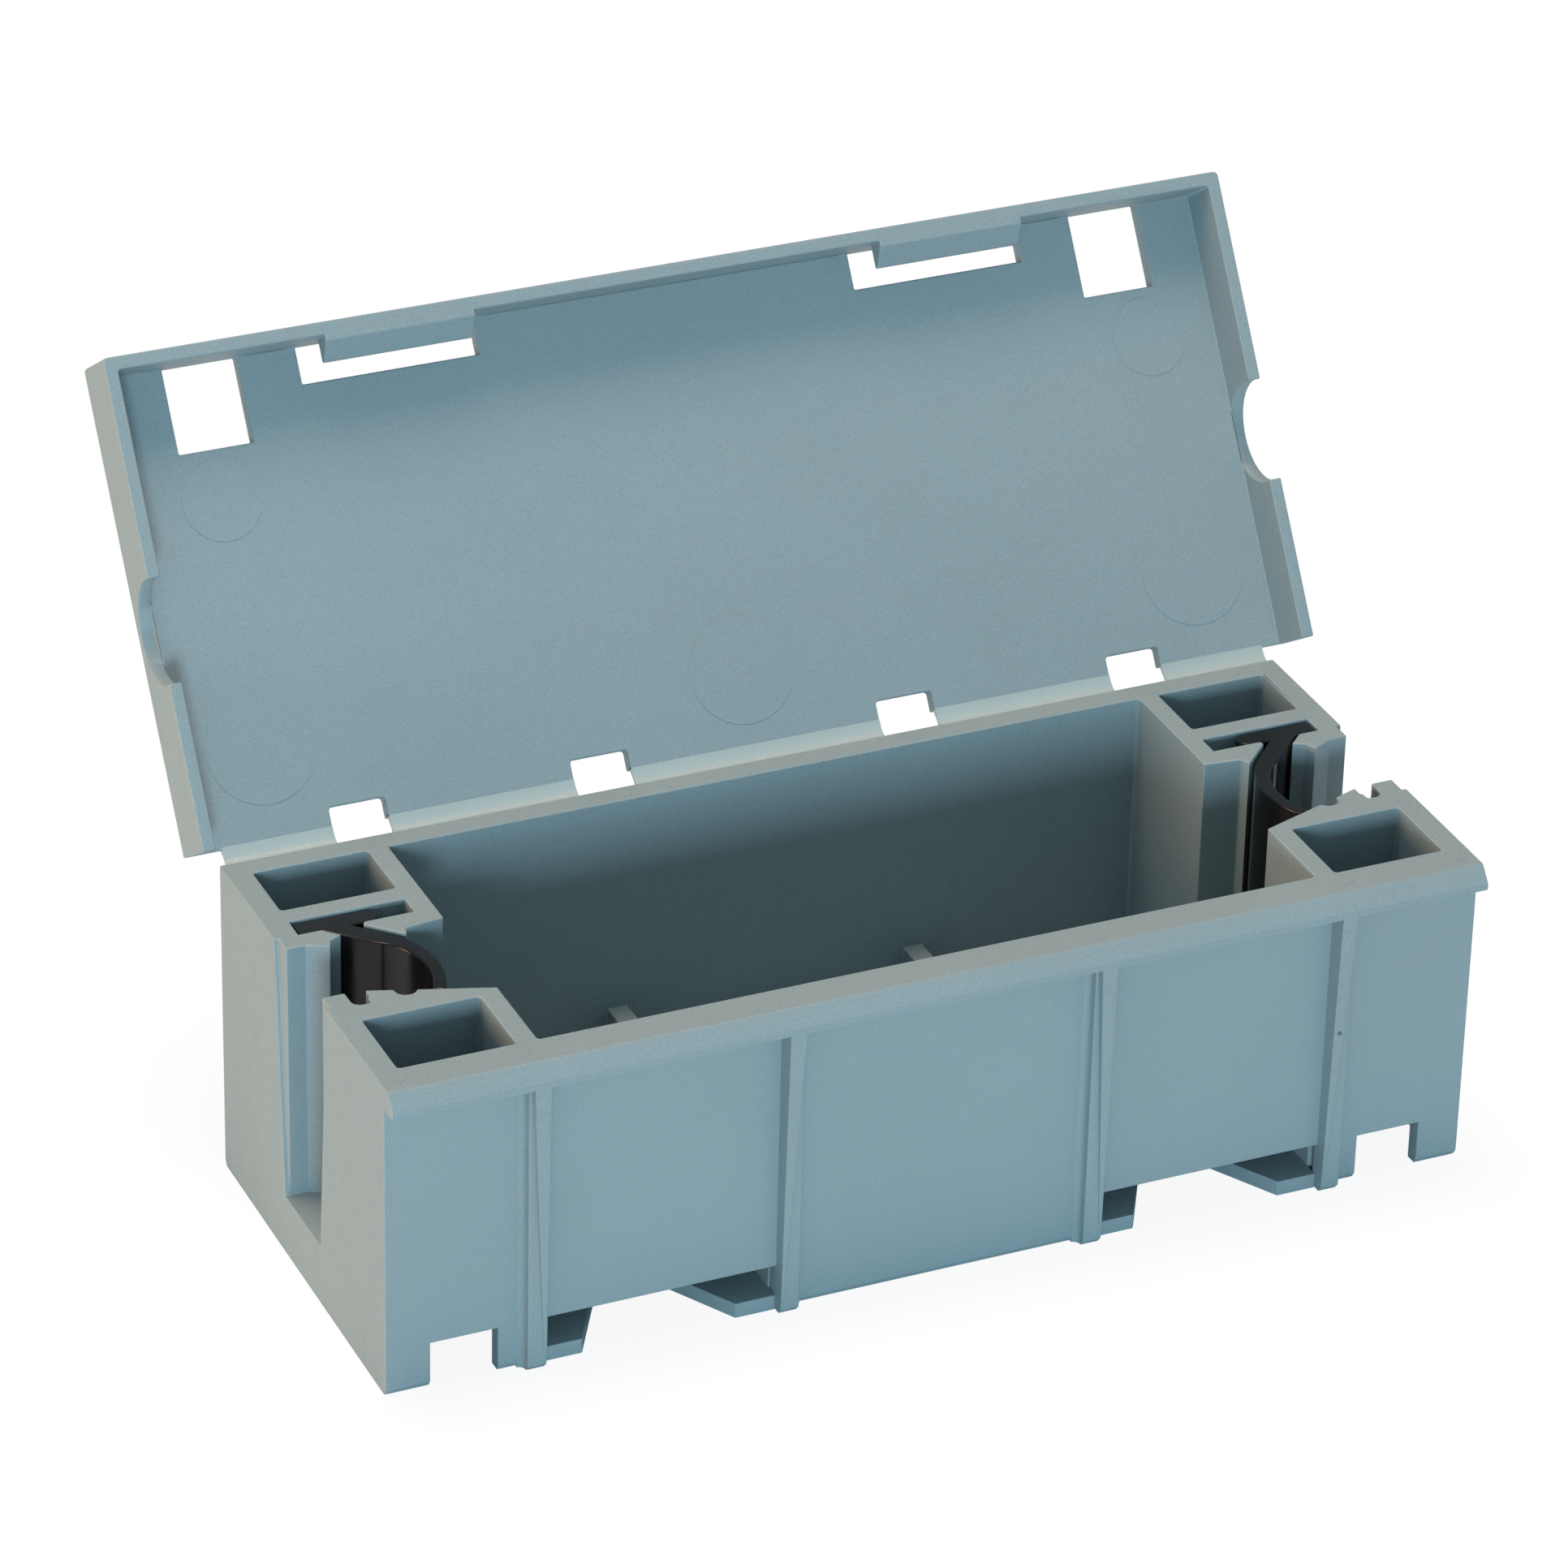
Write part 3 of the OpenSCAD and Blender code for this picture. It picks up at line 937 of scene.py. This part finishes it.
        def wedge(width: float, out: float) -> Outline:
            """The wedge's plan where it has a width and stands out by a distance."""
            return plan([(0, 0), (0, out), (width, out), (width, 0)])

        (less, rise), full = self.rib_draw, pad(self.rib_out)
        rings = [(pad(self.rib_out - less), 0.0), (full, rise), (full, top)]
        foot = wedge(self.wedge_foot[0], self.rib_out + self.wedge_foot[1])
        head = wedge(self.wedge_width, self.lip_out)
        return [
            loft("rib_pad", rings),
            loft("rib_wedge", [(foot, self.wedge_start), (head, top)]),
        ]

    def foot(self, label: str, span: Point, row: Point) -> Piece:
        """Something the box stands on; its bottom is drawn in from the front and back.

        Args:
            label: The new object's name.
            span: Where it is along X.
            row: Where it is along Y.

        Returns:
            The foot, from the ground up into the floor.
        """
        (x1, x2), (y1, y2) = sorted(span), row
        draw, rise = self.foot_draw
        front = draw if y1 <= self.low.y else 0.0
        back = draw if y2 >= self.high.y else 0.0
        full, less = rectangle(x1, y1, x2, y2), rectangle(x1, y1 + front, x2, y2 - back)
        top = self.low.z + self.under_floor
        return loft(label, [(less, 0.0), (full, rise), (full, top)])

    def end_walls(self) -> list[Piece]:
        """The skirt's walls along the tray's two ends.

        Returns:
            The two walls.
        """
        outer, inner = self.high.x, self.high.x - self.skirt
        row = (self.low.y, self.high.y)
        return [self.foot("end_wall", (s.value * outer, s.value * inner), row) for s in Side]

    def feet(self) -> list[Piece]:
        """The corner feet, the foot posts and the middle walls under the floor.

        Returns:
            The feet.
        """
        rows = (
            (self.low.y, self.low.y + self.skirt),
            (self.high.y - self.skirt, self.high.y),
        )
        solids = []
        for side in Side:
            for row in rows:
                for label, ends in zip(("corner_foot", "foot_post"), self.foot_ends):
                    span = tuple(side.value * (self.high.x - end) for end in ends)
                    solids.append(self.foot(label, span, row))
        reach = self.screw_spacing / 2 - self.rib_side - self.foot_gap
        return solids + [self.foot("middle_foot", (-reach, reach), row) for row in rows]

    def screw_slot(self, side: Side) -> Piece:
        """One screw slot's side walls, back wall and plate with its funnel.

        Args:
            side: The end of the box that the slot is nearer to.

        Returns:
            The slot's box, already hollowed, as one solid.
        """
        x, front = side.value * self.screw_spacing / 2, self.low.y
        half, wall, depth = self.rib_side, self.skirt, self.high.y + self.slot_past_middle
        right = [(half, 0.0), (half, wall), (half + wall, wall), (half + wall, depth)]
        sides = right + [(-a, b) for a, b in reversed(right)]
        top = self.low.z + self.under_floor
        box = prism("slot_box", [(x + a, front + b) for a, b in sides], 0.0, top)
        inside = rectangle(x - half, front - CLEAR, x + half, front + depth - wall)
        join(box, prism("slot_inside", inside, self.plate, top + CLEAR), Join.CUT)
        mouth, neck, end = self.mouth / 2, self.shank / 2, front + self.funnel_length
        outline = [
            (x - neck, end),
            (x - mouth, front),
            (x - mouth, front - CLEAR),
            (x + mouth, front - CLEAR),
            (x + mouth, front),
            (x + neck, end),
            *arc((x, 0.0), neck, 0, 180, 24),
        ]
        join(box, prism("funnel", outline, -CLEAR, self.plate + CLEAR), Join.CUT)
        return box

    def gap_frames(self) -> list[Piece]:
        """Wedges that taper the frames round the two cable gaps.

        Returns:
            The four wedges, to be cut away.
        """
        posts, cuts = self.posts, []
        sill, top = self.low.z + self.floor, self.high.z
        for side in Side:
            at = side.value * self.high.x
            x1, x2 = sorted((at + side.value * CLEAR, at - side.value * posts.frame_depth))
            for edge, sign in ((posts.gap_front, -1), (posts.gap_back, 1)):
                y = self.low.y + edge
                inner, outer = y - sign * CLEAR, y + sign * self.frame_taper
                wedge = [(y, sill), (outer, top), (outer, top + CLEAR), (inner, top + CLEAR)]
                cuts.append(prism("gap_frame", [*wedge, (inner, sill)], x1, x2, PROFILE))
        return cuts

    def stops(self) -> list[Piece]:
        """Two small stops for the connectors, at the foot of the back wall.

        Returns:
            The stops.
        """
        wide, deep, tall = self.stop_size
        x = self.screw_spacing / 2 - self.rib_side - self.stop_from_rib
        y, z = self.high.y - self.posts.back_wall, self.low.z + self.floor
        solids = []
        for side in Side:
            middle = side.value * x
            outline = rectangle(middle - wide / 2, y - deep, middle + wide / 2, y + ROOT)
            solids.append(prism("stop", outline, z - ROOT, z + tall))
        return solids

    def witness_marks(self) -> list[Piece]:
        """Faint round marks that the mould's ejector pins left on the front rim.

        Returns:
            The marks.
        """
        marks, top = [], self.high.z
        for end, sign in ((self.low.x, 1), (self.high.x, -1)):
            for place in self.pin_places:
                centre = (end + sign * place, self.low.y + self.pin_from_front)
                outline = disc(centre, self.pin_radius, 24)
                marks.append(prism("pin_mark", outline, top - ROOT, top + self.pin_height))
        return marks

    def build(self, paint: Paint) -> Piece:
        """Moulds the tray in one piece.

        Args:
            paint: Gives it its finish.

        Returns:
            The tray.
        """
        tray = self.floor_solid()
        tray.name = self.name
        join_all(tray, self.wall_solids() + self.end_walls(), Join.ADD)
        join(tray, self.lip_solid(), Join.ADD)
        join_all(tray, self.gap_frames(), Join.CUT)
        join_all(tray, self.stops(), Join.ADD)
        round_edges(tray, self.rounding)
        small = self.feet()
        for side in Side:
            small.append(self.screw_slot(side))
            for outward in (1, -1):
                small += self.rib_solids(side, outward)
        for solid in small:
            round_edges(solid, self.small_rounding)
        join_all(tray, small + self.witness_marks(), Join.ADD)
        shade(tray)
        paint.dress(tray, Finish.HOUSING)
        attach(tray, "tray")
        nodes = ["base_tray", "snap_lip", "front_ribs", "foot_skirt"]
        nodes += [f"screw_slot_{side.word}" for side in Side]
        nodes += [f"corner_post_{row}_{side.word}" for row in ("front", "back") for side in Side]
        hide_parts(*nodes)
        return tray


# --------------------------------------------------------------------------------- lid


@dataclass
class Lid:
    """The lid: its panel, rims, windows and snap hooks.

    Its own sizes run along x, along s from the hinge's axis towards the hooks, and
    along t from the panel's inner face towards the rims' edges.
    """

    name: str = "lid_moulding"
    panel: float = 1.4
    start: float = 0.8
    corner_round: float = 0.4
    rim: float = 1.2
    rim_height: float = 4.4
    rim_draft: float = 0.1
    rim_round: float = 0.25
    hook_length: float = 13.0
    hook_tip: float = 37.9
    hook_catch: float = 2.28
    hook_flat: float = 0.5
    hook_crest: float = 0.4
    hook_middle: float = 24.6
    corner_window: Corner = (3.7, 6.45, 7.1)  # from the end, along x, along s
    hook_window: Point = (1.25, 3.15)  # past the hook's ends, along s
    window_round: float = 0.15
    hinge_gaps: tuple[Point, Point] = ((10.1, 4.9), (31.2, 5.1))
    hinge_gap_depth: float = 1.75
    hinge_gap_round: float = 0.3
    scoop_place: float = 18.775
    scoop_radius: float = 4.33
    scoop_sunk: float = 0.7
    scoop_flare: float = 8.0  # degrees of the circle that it opens beyond a half
    pins: tuple[Corner, ...] = (  # x, s and radius
        (0.0, 7.3, 4.6),
        (-42.0, 8.4, 4.7),
        (42.0, 8.4, 4.7),
        (-41.0, 28.6, 3.4),
        (42.5, 28.6, 3.4),
    )
    pin_height: float = 0.035
    rounding: float = 0.12
    axis: Vector = field(init=False)
    away: Vector = field(init=False)
    place: Matrix = field(init=False)
    rim_place: Matrix = field(init=False)
    half: float = field(init=False)
    depth: float = field(init=False)
    tray_half: float = field(init=False)

    def __post_init__(self) -> None:
        """Takes the hinge and the lid's outer size from the frame."""
        hinge = next(j for j in frame["joints"] if j["name"] == "lid_hinge")
        angle = math.radians(-hinge["range_deg"][0])
        sine, cosine = math.sin(angle), math.cos(angle)
        self.axis = Vector(hinge["pos_m"]) / MM
        self.away = Vector((0, -cosine, sine))
        inward = Vector((0, -sine, -cosine))
        self.place = placing((1, 0, 0), self.away, inward, self.axis)
        self.rim_place = placing(self.away, inward, (1, 0, 0), self.axis)
        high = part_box("lid_panel")[1]
        self.half = high[0] / MM
        self.depth = ((Vector(high) / MM - self.axis).y - self.panel * sine) / -cosine
        self.tray_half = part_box("base_tray")[1][0] / MM

    @property
    def inner(self) -> float:
        """Where the front rim's inner face is."""
        return self.depth - self.rim

    def windows(self) -> list[Outline]:
        """The outlines of all openings in the panel, in x and s.

        Returns:
            The two windows of each half.
        """
        from_end, length, depth = self.corner_window
        past, hook_depth = self.hook_window
        far, half = self.tray_half - from_end, self.hook_length / 2 + past
        spans = (
            (far - length, far, self.inner - depth),
            (self.hook_middle - half, self.hook_middle + half, self.inner - hook_depth),
        )
        holes: list[Outline] = []
        for side in Side:
            for near, end, low in spans:
                x1, x2 = sorted((side.value * near, side.value * end))
                holes.append(rectangle(x1, low, x2, self.inner, self.window_round))
        return holes

    def panel_solid(self) -> Piece:
        """The panel, notched along the hinge.

        Returns:
            The panel, which the rest of the lid is joined to.
        """
        bottom, deep = self.start, self.start + self.hinge_gap_depth
        wide, large = self.hinge_gap_round, self.corner_round
        left: list[Corner] = [(-self.half, bottom, 0.0)]
        for near, length in self.hinge_gaps:
            x1, x2 = -self.tray_half + near, -self.tray_half + near + length
            left += [(x1, bottom, 0.0), (x1, deep, wide), (x2, deep, wide), (x2, bottom, 0.0)]
        right = [(-x, s, radius) for x, s, radius in reversed(left)]
        far = [(self.half, self.depth, large), (-self.half, self.depth, large)]
        outline = rounded([*left, *right, *far], 4)
        return prism(self.name, outline, -self.panel, 0.0, self.place, self.windows())

    def rim_solid(self) -> Piece:
        """The rims along both sides and the front, drawn in to their edge a little.

        Returns:
            The rims.
        """

        def ring(draft: float) -> Outline:
            """The rims' plan at one height.

            Args:
                draft: How far the inner faces have moved out there.

            Returns:
                The plan.
            """
            x, s = self.half - self.rim + draft, self.depth - self.rim + draft
            left = [
                (-self.half, self.start, 0.0),
                (-x, self.start, 0.0),
                (-x, s, self.rim_round),
            ]
            right = [(-a, b, radius) for a, b, radius in reversed(left)]
            far = [(self.half, self.depth), (-self.half, self.depth)]
            return rounded([*left, *right, *((*p, self.corner_round) for p in far)], 4)

        rings = [(ring(0.0), -ROOT), (ring(0.0), 0.0), (ring(self.rim_draft), self.rim_height)]
        return loft("rims", rings, self.place)

    def scoop_solids(self) -> list[Piece]:
        """The round cuts over the cable gaps, flared where they meet the rim's edge.

        Returns:
            The two solids, to be cut away.
        """
        s, radius, top = self.scoop_place, self.scoop_radius, self.rim_height + CLEAR
        flare = self.scoop_flare
        bowl = arc((s, radius - self.scoop_sunk), radius, flare, -180 - flare, 40)
        outline = [(s + radius, top), *bowl, (s - radius, top)]
        cuts = []
        for side in Side:
            ends = (self.half + CLEAR, self.half - self.rim)
            x1, x2 = sorted(side.value * end for end in ends)
            cuts.append(prism("scoop", outline, x1, x2, self.rim_place))
        return cuts

    def hook_solid(self, side: Side) -> Piece:
        """One snap hook on the front rim, with a lead-in slope.

        Args:
            side: The half of the lid that the hook is on.

        Returns:
            The hook.
        """
        root = self.inner + ROOT
        profile = [
            (root, self.hook_catch),
            (self.hook_tip, self.hook_catch),
            (self.hook_tip, self.hook_catch + self.hook_flat),
            (self.inner - self.hook_crest, self.rim_height),
            (root, self.rim_height),
        ]
        middle, half = side.value * self.hook_middle, self.hook_length / 2
        return prism("hook", profile, middle - half, middle + half, self.rim_place)

    def witness_marks(self) -> list[Piece]:
        """Faint round marks of the mould's ejector pins and its gate.

        Returns:
            The marks.
        """
        marks = []
        for x, s, radius in self.pins:
            outline = disc((x, s), radius, 60)
            marks.append(prism("pin_mark", outline, -ROOT, self.pin_height, self.place))
        return marks

    def build(self, paint: Paint) -> Piece:
        """Moulds the lid in one piece.

        Args:
            paint: Gives it its finish.

        Returns:
            The lid.
        """
        lid = self.panel_solid()
        join(lid, self.rim_solid(), Join.ADD)
        join_all(lid, self.scoop_solids(), Join.CUT)
        join_all(lid, [self.hook_solid(side) for side in Side], Join.ADD)
        round_edges(lid, self.rounding)
        join_all(lid, self.witness_marks(), Join.ADD)
        shade(lid)
        paint.dress(lid, Finish.HOUSING)
        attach(lid, "lid")
        hooks = [f"snap_hook_{side.word}" for side in Side]
        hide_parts("lid_panel", "lid_rim", *hooks)
        return lid


# -------------------------------------------------------------------------- film hinge


@dataclass
class FilmHinge:
    """The strips of thin skin between the tray's back edge and the lid."""

    lid: Lid
    count: int = 5
    thickness: float = 0.35
    thinnest: float = 0.75  # of the thickness, in the middle
    thickening: float = 0.9  # of the thickness, from the middle to an edge
    sunk: float = 0.25
    below_rim: float = 0.02
    hollow: Point = (0.05, 0.12)
    bend_start: Place = (0.0, -0.5, -0.1)
    sharp_turn: float = 40.0
    steps: int = 10

    def profile(self) -> Outline:
        """The strip's section in Y and Z: a hollow curve, thicker at both of its edges.

        Returns:
            The points of its upper face and then of its lower one.
        """
        axis, back = self.lid.axis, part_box("base_tray")[1]
        start = Vector((back[1] / MM - self.sunk, back[2] / MM - self.below_rim))
        edge = axis + self.lid.away * (self.lid.start + self.sunk)
        end = Vector((edge.y, edge.z))
        middle = Vector((axis.y - self.hollow[0], axis.z - self.hollow[1]))
        upper, lower = [], []
        for i in range(self.steps + 1):
            t = i / self.steps
            point = (1 - t) ** 2 * start + 2 * t * (1 - t) * middle + t**2 * end
            slope = 2 * (1 - t) * (middle - start) + 2 * t * (end - middle)
            normal = Vector((slope.y, -slope.x)).normalized()
            thick = self.thickness * (self.thinnest + self.thickening * (2 * t - 1) ** 2)
            upper.append(tuple(point))
            lower.append(tuple(point + normal * thick))
        return upper + lower[::-1]

    def build(self, paint: Paint) -> list[Piece]:
        """Makes the strips, which bend between the tray and the lid.

        Args:
            paint: Gives them their finish.

        Returns:
            The strips, from left to right.
        """
        strips = []
        for number in range(1, self.count + 1):
            node = f"hinge_film_{number}"
            x1, x2 = (corner[0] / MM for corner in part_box(node))
            strip = prism(f"hinge_strip_{number}", self.profile(), x1, x2, PROFILE)
            for face in strip.data.polygons:
                face.use_smooth = len(face.vertices) == 4
            strip.data.set_sharp_from_angle(angle=math.radians(self.sharp_turn))
            paint.dress(strip, Finish.FILM)
            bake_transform(strip)
            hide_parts(node)
            strips.append(strip)
        return strips


# ------------------------------------------------------------------------ cable clamps


@dataclass
class CableClamp:
    """A springy clamp: a flange in the slot, a slanting neck and a curved arm.

    Its plan is drawn for the left end, in distances from that end and from the front.
    """

    side: Side
    tray: Tray
    gap: float = 0.15
    lip_gap: float = 1.35  # of the gap, between the neck and each lip of the slot's mouth
    tip_gap: float = 1.3  # of the gap, between the arm's tip and the front post
    flange_length: float = 6.9
    flange_taper: float = 0.9
    neck_angle: float = 46.0
    arm_root: float = 1.4
    arm_tip: float = 1.0
    arm_growth: float = 1.2  # how soon the arm has its root's thickness
    shoulder: Point = (0.8, 0.8)  # where the arm widens to the neck, and how much of it
    tip_place: float = 7.8
    inner_run: float = 0.25  # the part of the run where the neck's inner face is straight
    pivot_angle: float = 30.0
    bend: Point = (1.1, 1.7)  # how far from the pivot the bend starts and ends
    steps: int = 30
    drop: float = 0.2
    bottom_gap: float = 0.02
    rounding: float = 0.14
    along: Vector = field(init=False)
    across: Vector = field(init=False)
    corner: Vector = field(init=False)
    centre: Vector = field(init=False)
    width: float = field(init=False)
    radius: float = field(init=False)
    run: float = field(init=False)
    turns: Point = field(init=False)

    def __post_init__(self) -> None:
        """Works out the neck's straight run and the arc of the arm's outer face."""
        posts = self.tray.posts
        angle = math.radians(self.neck_angle)
        self.along = Vector((math.cos(angle), -math.sin(angle)))
        self.across = Vector((math.sin(angle), math.cos(angle)))
        inner, outer = Vector(posts.inner_lip), Vector(posts.outer_lip)
        self.corner = inner - self.lip_gap * self.gap * self.across
        self.width = (inner - outer).dot(self.across) - 2 * self.lip_gap * self.gap
        self.radius = posts.gap_back - posts.gap_front
        end = posts.end_wall + self.tip_place
        tip = Vector((end, posts.slope(end) + self.tip_gap * self.gap))
        reach = tip - self.corner + self.radius * self.across
        straight = reach.dot(self.along)
        self.run = straight - math.sqrt(straight**2 - reach.length_squared + self.radius**2)
        self.centre = self.corner + self.run * self.along - self.radius * self.across
        last = math.degrees(math.atan2(tip.y - self.centre.y, tip.x - self.centre.x))
        self.turns = (90 - self.neck_angle, last)

    def inner_face(self) -> Outline:
        """The arm's inner face, which thickens from the tip to the neck.

        Returns:
            Its points, from the tip on.
        """
        first, last = self.turns
        from_here, share = self.shoulder
        points: Outline = []
        for i in range(self.steps + 1):
            t = i / self.steps
            a = math.radians(last + (first - last) * t)
            thick = self.arm_tip + (self.arm_root - self.arm_tip) * min(1.0, t * self.arm_growth)
            widening = max(0.0, (t - from_here) / (1 - from_here)) ** 2
            thick += (self.width - self.arm_root) * widening * share
            away = Vector((math.cos(a), math.sin(a)))
            points.append(tuple(self.centre + (self.radius - thick) * away))
        return points

    def outline(self) -> Outline:
        """The clamp's plan.

        Returns:
            Points all round: outer curve, tip, inner curve, neck and flange.
        """
        posts, gap = self.tray.posts, self.gap
        low, high = posts.slot_front + gap, posts.slot_back - gap
        left = posts.end_wall + gap
        end = (left + self.flange_length - self.flange_taper, (low + high) / 2)

        def back_to(point: Vector) -> Point:
            """Where a line along the neck through a point meets the flange."""
            return tuple(point - self.along * (low - point.y) / -self.along.y)

        neck = self.corner - self.width * self.across
        return [
            back_to(self.corner),
            *arc(tuple(self.centre), self.radius, *self.turns, self.steps),
            *self.inner_face(),
            tuple(neck + self.inner_run * self.run * self.along),
            back_to(neck),
            (left, low),
            (left, high),
            *arc(end, (high - low) / 2, 90, -90, 14),
        ]

    def at_side(self, point: Sequence[float]) -> Point:
        """A point of the left clamp's plan, placed at this clamp's side."""
        x, y = self.tray.end_place(point[0], point[1])
        return (-self.side.value * x, y)

    def bend_ends(self) -> list[Point]:
        """Where the arm's bend starts and ends, either side of its pivot.

        Returns:
            The two places in plan, at this clamp's side.
        """
        angle = math.radians(self.pivot_angle)
        away = Vector((math.cos(angle), math.sin(angle)))
        ahead = Vector((math.sin(angle), -math.cos(angle)))
        pivot = self.centre + (self.radius - self.arm_root / 2) * away
        before, after = self.bend
        return [self.at_side(pivot - before * ahead), self.at_side(pivot + after * ahead)]

    def build(self, paint: Paint) -> Piece:
        """Makes the clamp in one piece.

        Args:
            paint: Gives it its finish.

        Returns:
            The clamp.
        """
        word = self.side.word
        outline = [self.at_side(point) for point in self.outline()]
        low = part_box(f"clamp_foot_{word}")[0][2] / MM
        high = self.tray.high.z - self.drop
        clamp = prism(f"cable_clamp_{word}", outline, low + self.bottom_gap, high)
        round_edges(clamp, self.rounding, 3)
        shade(clamp)
        paint.dress(clamp, Finish.CLAMP)
        level = (low + high) / 2
        start, end = (tuple(v * MM for v in (*place, level)) for place in self.bend_ends())
        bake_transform(clamp)
        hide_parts(f"clamp_foot_{word}", f"clamp_arm_{word}")
        return clamp


# ------------------------------------------------------------------------------- studio


@dataclass(frozen=True)
class SoftLight:
    """A soft square light that faces the box; its power is in watts."""

    name: str
    place: Place
    size: float
    power: float
    tint: Colour
    aim: Place = (0.0, 0.0, 15.0)

    def build(self) -> None:
        """Puts the light into the scene."""
        data = bpy.data.lights.new(self.name, "AREA")
        data.size = self.size * MM
        data.energy = self.power
        data.color = self.tint
        lamp = bpy.data.objects.new(self.name, data)
        lamp.location = Vector(self.place) * MM
        ahead = Vector(self.aim) - Vector(self.place)
        lamp.rotation_euler = ahead.to_track_quat("-Z", "Y").to_euler()
        bpy.context.scene.collection.objects.link(lamp)


LIGHTS = (
    SoftLight("front_light", (-350, -900, 125), 200, 5.8, (0.64, 0.85, 0.98)),
    SoftLight("left_light", (-900, 100, 130), 240, 5.2, (1.0, 0.59, 0.33)),
    SoftLight("top_light", (-60, 130, 1000), 340, 8.6, (1.0, 0.74, 0.58)),
)


@dataclass
class Studio:
    """The floor, the lights and the camera."""

    target: Place = (-2.24, 8.7, 31.55)
    azimuth: float = 24.486
    elevation: float = 29.362
    roll: float = -1.41
    distance: float = 590.0
    lens: float = 166.63
    sensor: float = 36.0
    view_span: Point = (0.01, 50.0)  # the nearest and farthest that is seen, in metres
    floor_size: float = 6000.0
    floor_colour: Colour = (0.72, 0.79, 0.83)
    floor_roughness: float = 0.9
    floor_gloss: float = 0.1
    floor_glow: float = 1.04
    floor_glow_share: float = 0.88
    room_colour: Colour = (0.66, 0.88, 1.0)
    room_strength: float = 0.39

    def floor(self) -> None:
        """A wide, plain pale floor, which glows a little where it is seen directly."""
        half = self.floor_size / 2
        mesh = bmesh.new()
        corners = [mesh.verts.new((x, y, 0)) for x, y in rectangle(-half, -half, half, half)]
        mesh.faces.new(corners)
        floor = solid_object("studio_floor", mesh, Matrix.Scale(MM, 4))
        made = bpy.data.materials.new("pale_floor")
        made.use_nodes = True
        made.node_tree.nodes.clear()
        pen = NodePen(made.node_tree)
        paper = pen.node("ShaderNodeBsdfPrincipled")
        paper.inputs["Base Color"].default_value = (*self.floor_colour, 1.0)
        paper.inputs["Roughness"].default_value = self.floor_roughness
        paper.inputs["Specular IOR Level"].default_value = self.floor_gloss
        glow = pen.node("ShaderNodeEmission")
        glow.inputs["Strength"].default_value = self.floor_glow
        direct = pen.node("ShaderNodeLightPath").outputs["Is Camera Ray"]
        mix = pen.node("ShaderNodeMixShader")
        pen.wire(pen.maths("MULTIPLY", direct, self.floor_glow_share), mix.inputs[0])
        pen.wire(paper.outputs[0], mix.inputs[1])
        pen.wire(glow.outputs[0], mix.inputs[2])
        out = pen.node("ShaderNodeOutputMaterial")
        pen.wire(mix.outputs[0], out.inputs["Surface"])
        floor.data.materials.append(made)

    def room(self) -> None:
        """The even light of a pale room."""
        world = bpy.data.worlds.new("pale_room")
        world.use_nodes = True
        back = world.node_tree.nodes["Background"]
        back.inputs["Color"].default_value = (*self.room_colour, 1.0)
        back.inputs["Strength"].default_value = self.room_strength
        bpy.context.scene.world = world

    def camera(self) -> None:
        """The camera, which looks down on the box from its front left."""
        turn, tilt = math.radians(self.azimuth), math.radians(self.elevation)
        level = math.cos(tilt)
        ahead = Vector((math.sin(turn) * level, math.cos(turn) * level, -math.sin(tilt)))
        right = ahead.cross(Vector((0, 0, 1))).normalized()
        up = right.cross(ahead)
        lean = math.radians(self.roll)
        tilted = up * math.cos(lean) + right * math.sin(lean)
        sideways = ahead.cross(tilted)
        data = bpy.data.cameras.new("camera")
        data.lens = self.lens
        data.sensor_width = self.sensor
        data.clip_start, data.clip_end = self.view_span
        camera = bpy.data.objects.new("camera", data)
        turned = Matrix((sideways, tilted, -ahead)).transposed().to_4x4()
        place = Matrix.Translation((Vector(self.target) - ahead * self.distance) * MM)
        camera.matrix_world = place @ turned
        bpy.context.scene.collection.objects.link(camera)
        bpy.context.scene.camera = camera

    def build(self) -> None:
        """Sets the whole studio up."""
        bpy.context.scene.view_settings.view_transform = "Standard"
        self.camera()
        for light in LIGHTS:
            light.build()
        self.room()
        self.floor()


def report(piece: Piece) -> None:
    """Logs a finished piece's name and how many faces it has."""
    LOG.info("%s: %d faces", piece.name, len(piece.data.polygons))


def main() -> None:
    """Builds the studio and every piece of the box, and logs each piece's face count."""
    logging.basicConfig(level=logging.INFO, format="%(message)s")
    Studio().build()
    paint = Paint()
    tray = Tray()
    report(tray.build(paint))
    lid = Lid()
    report(lid.build(paint))
    for strip in FilmHinge(lid).build(paint):
        report(strip)
    for side in Side:
        report(CableClamp(side, tray).build(paint))


if __name__ == "__main__":
    main()
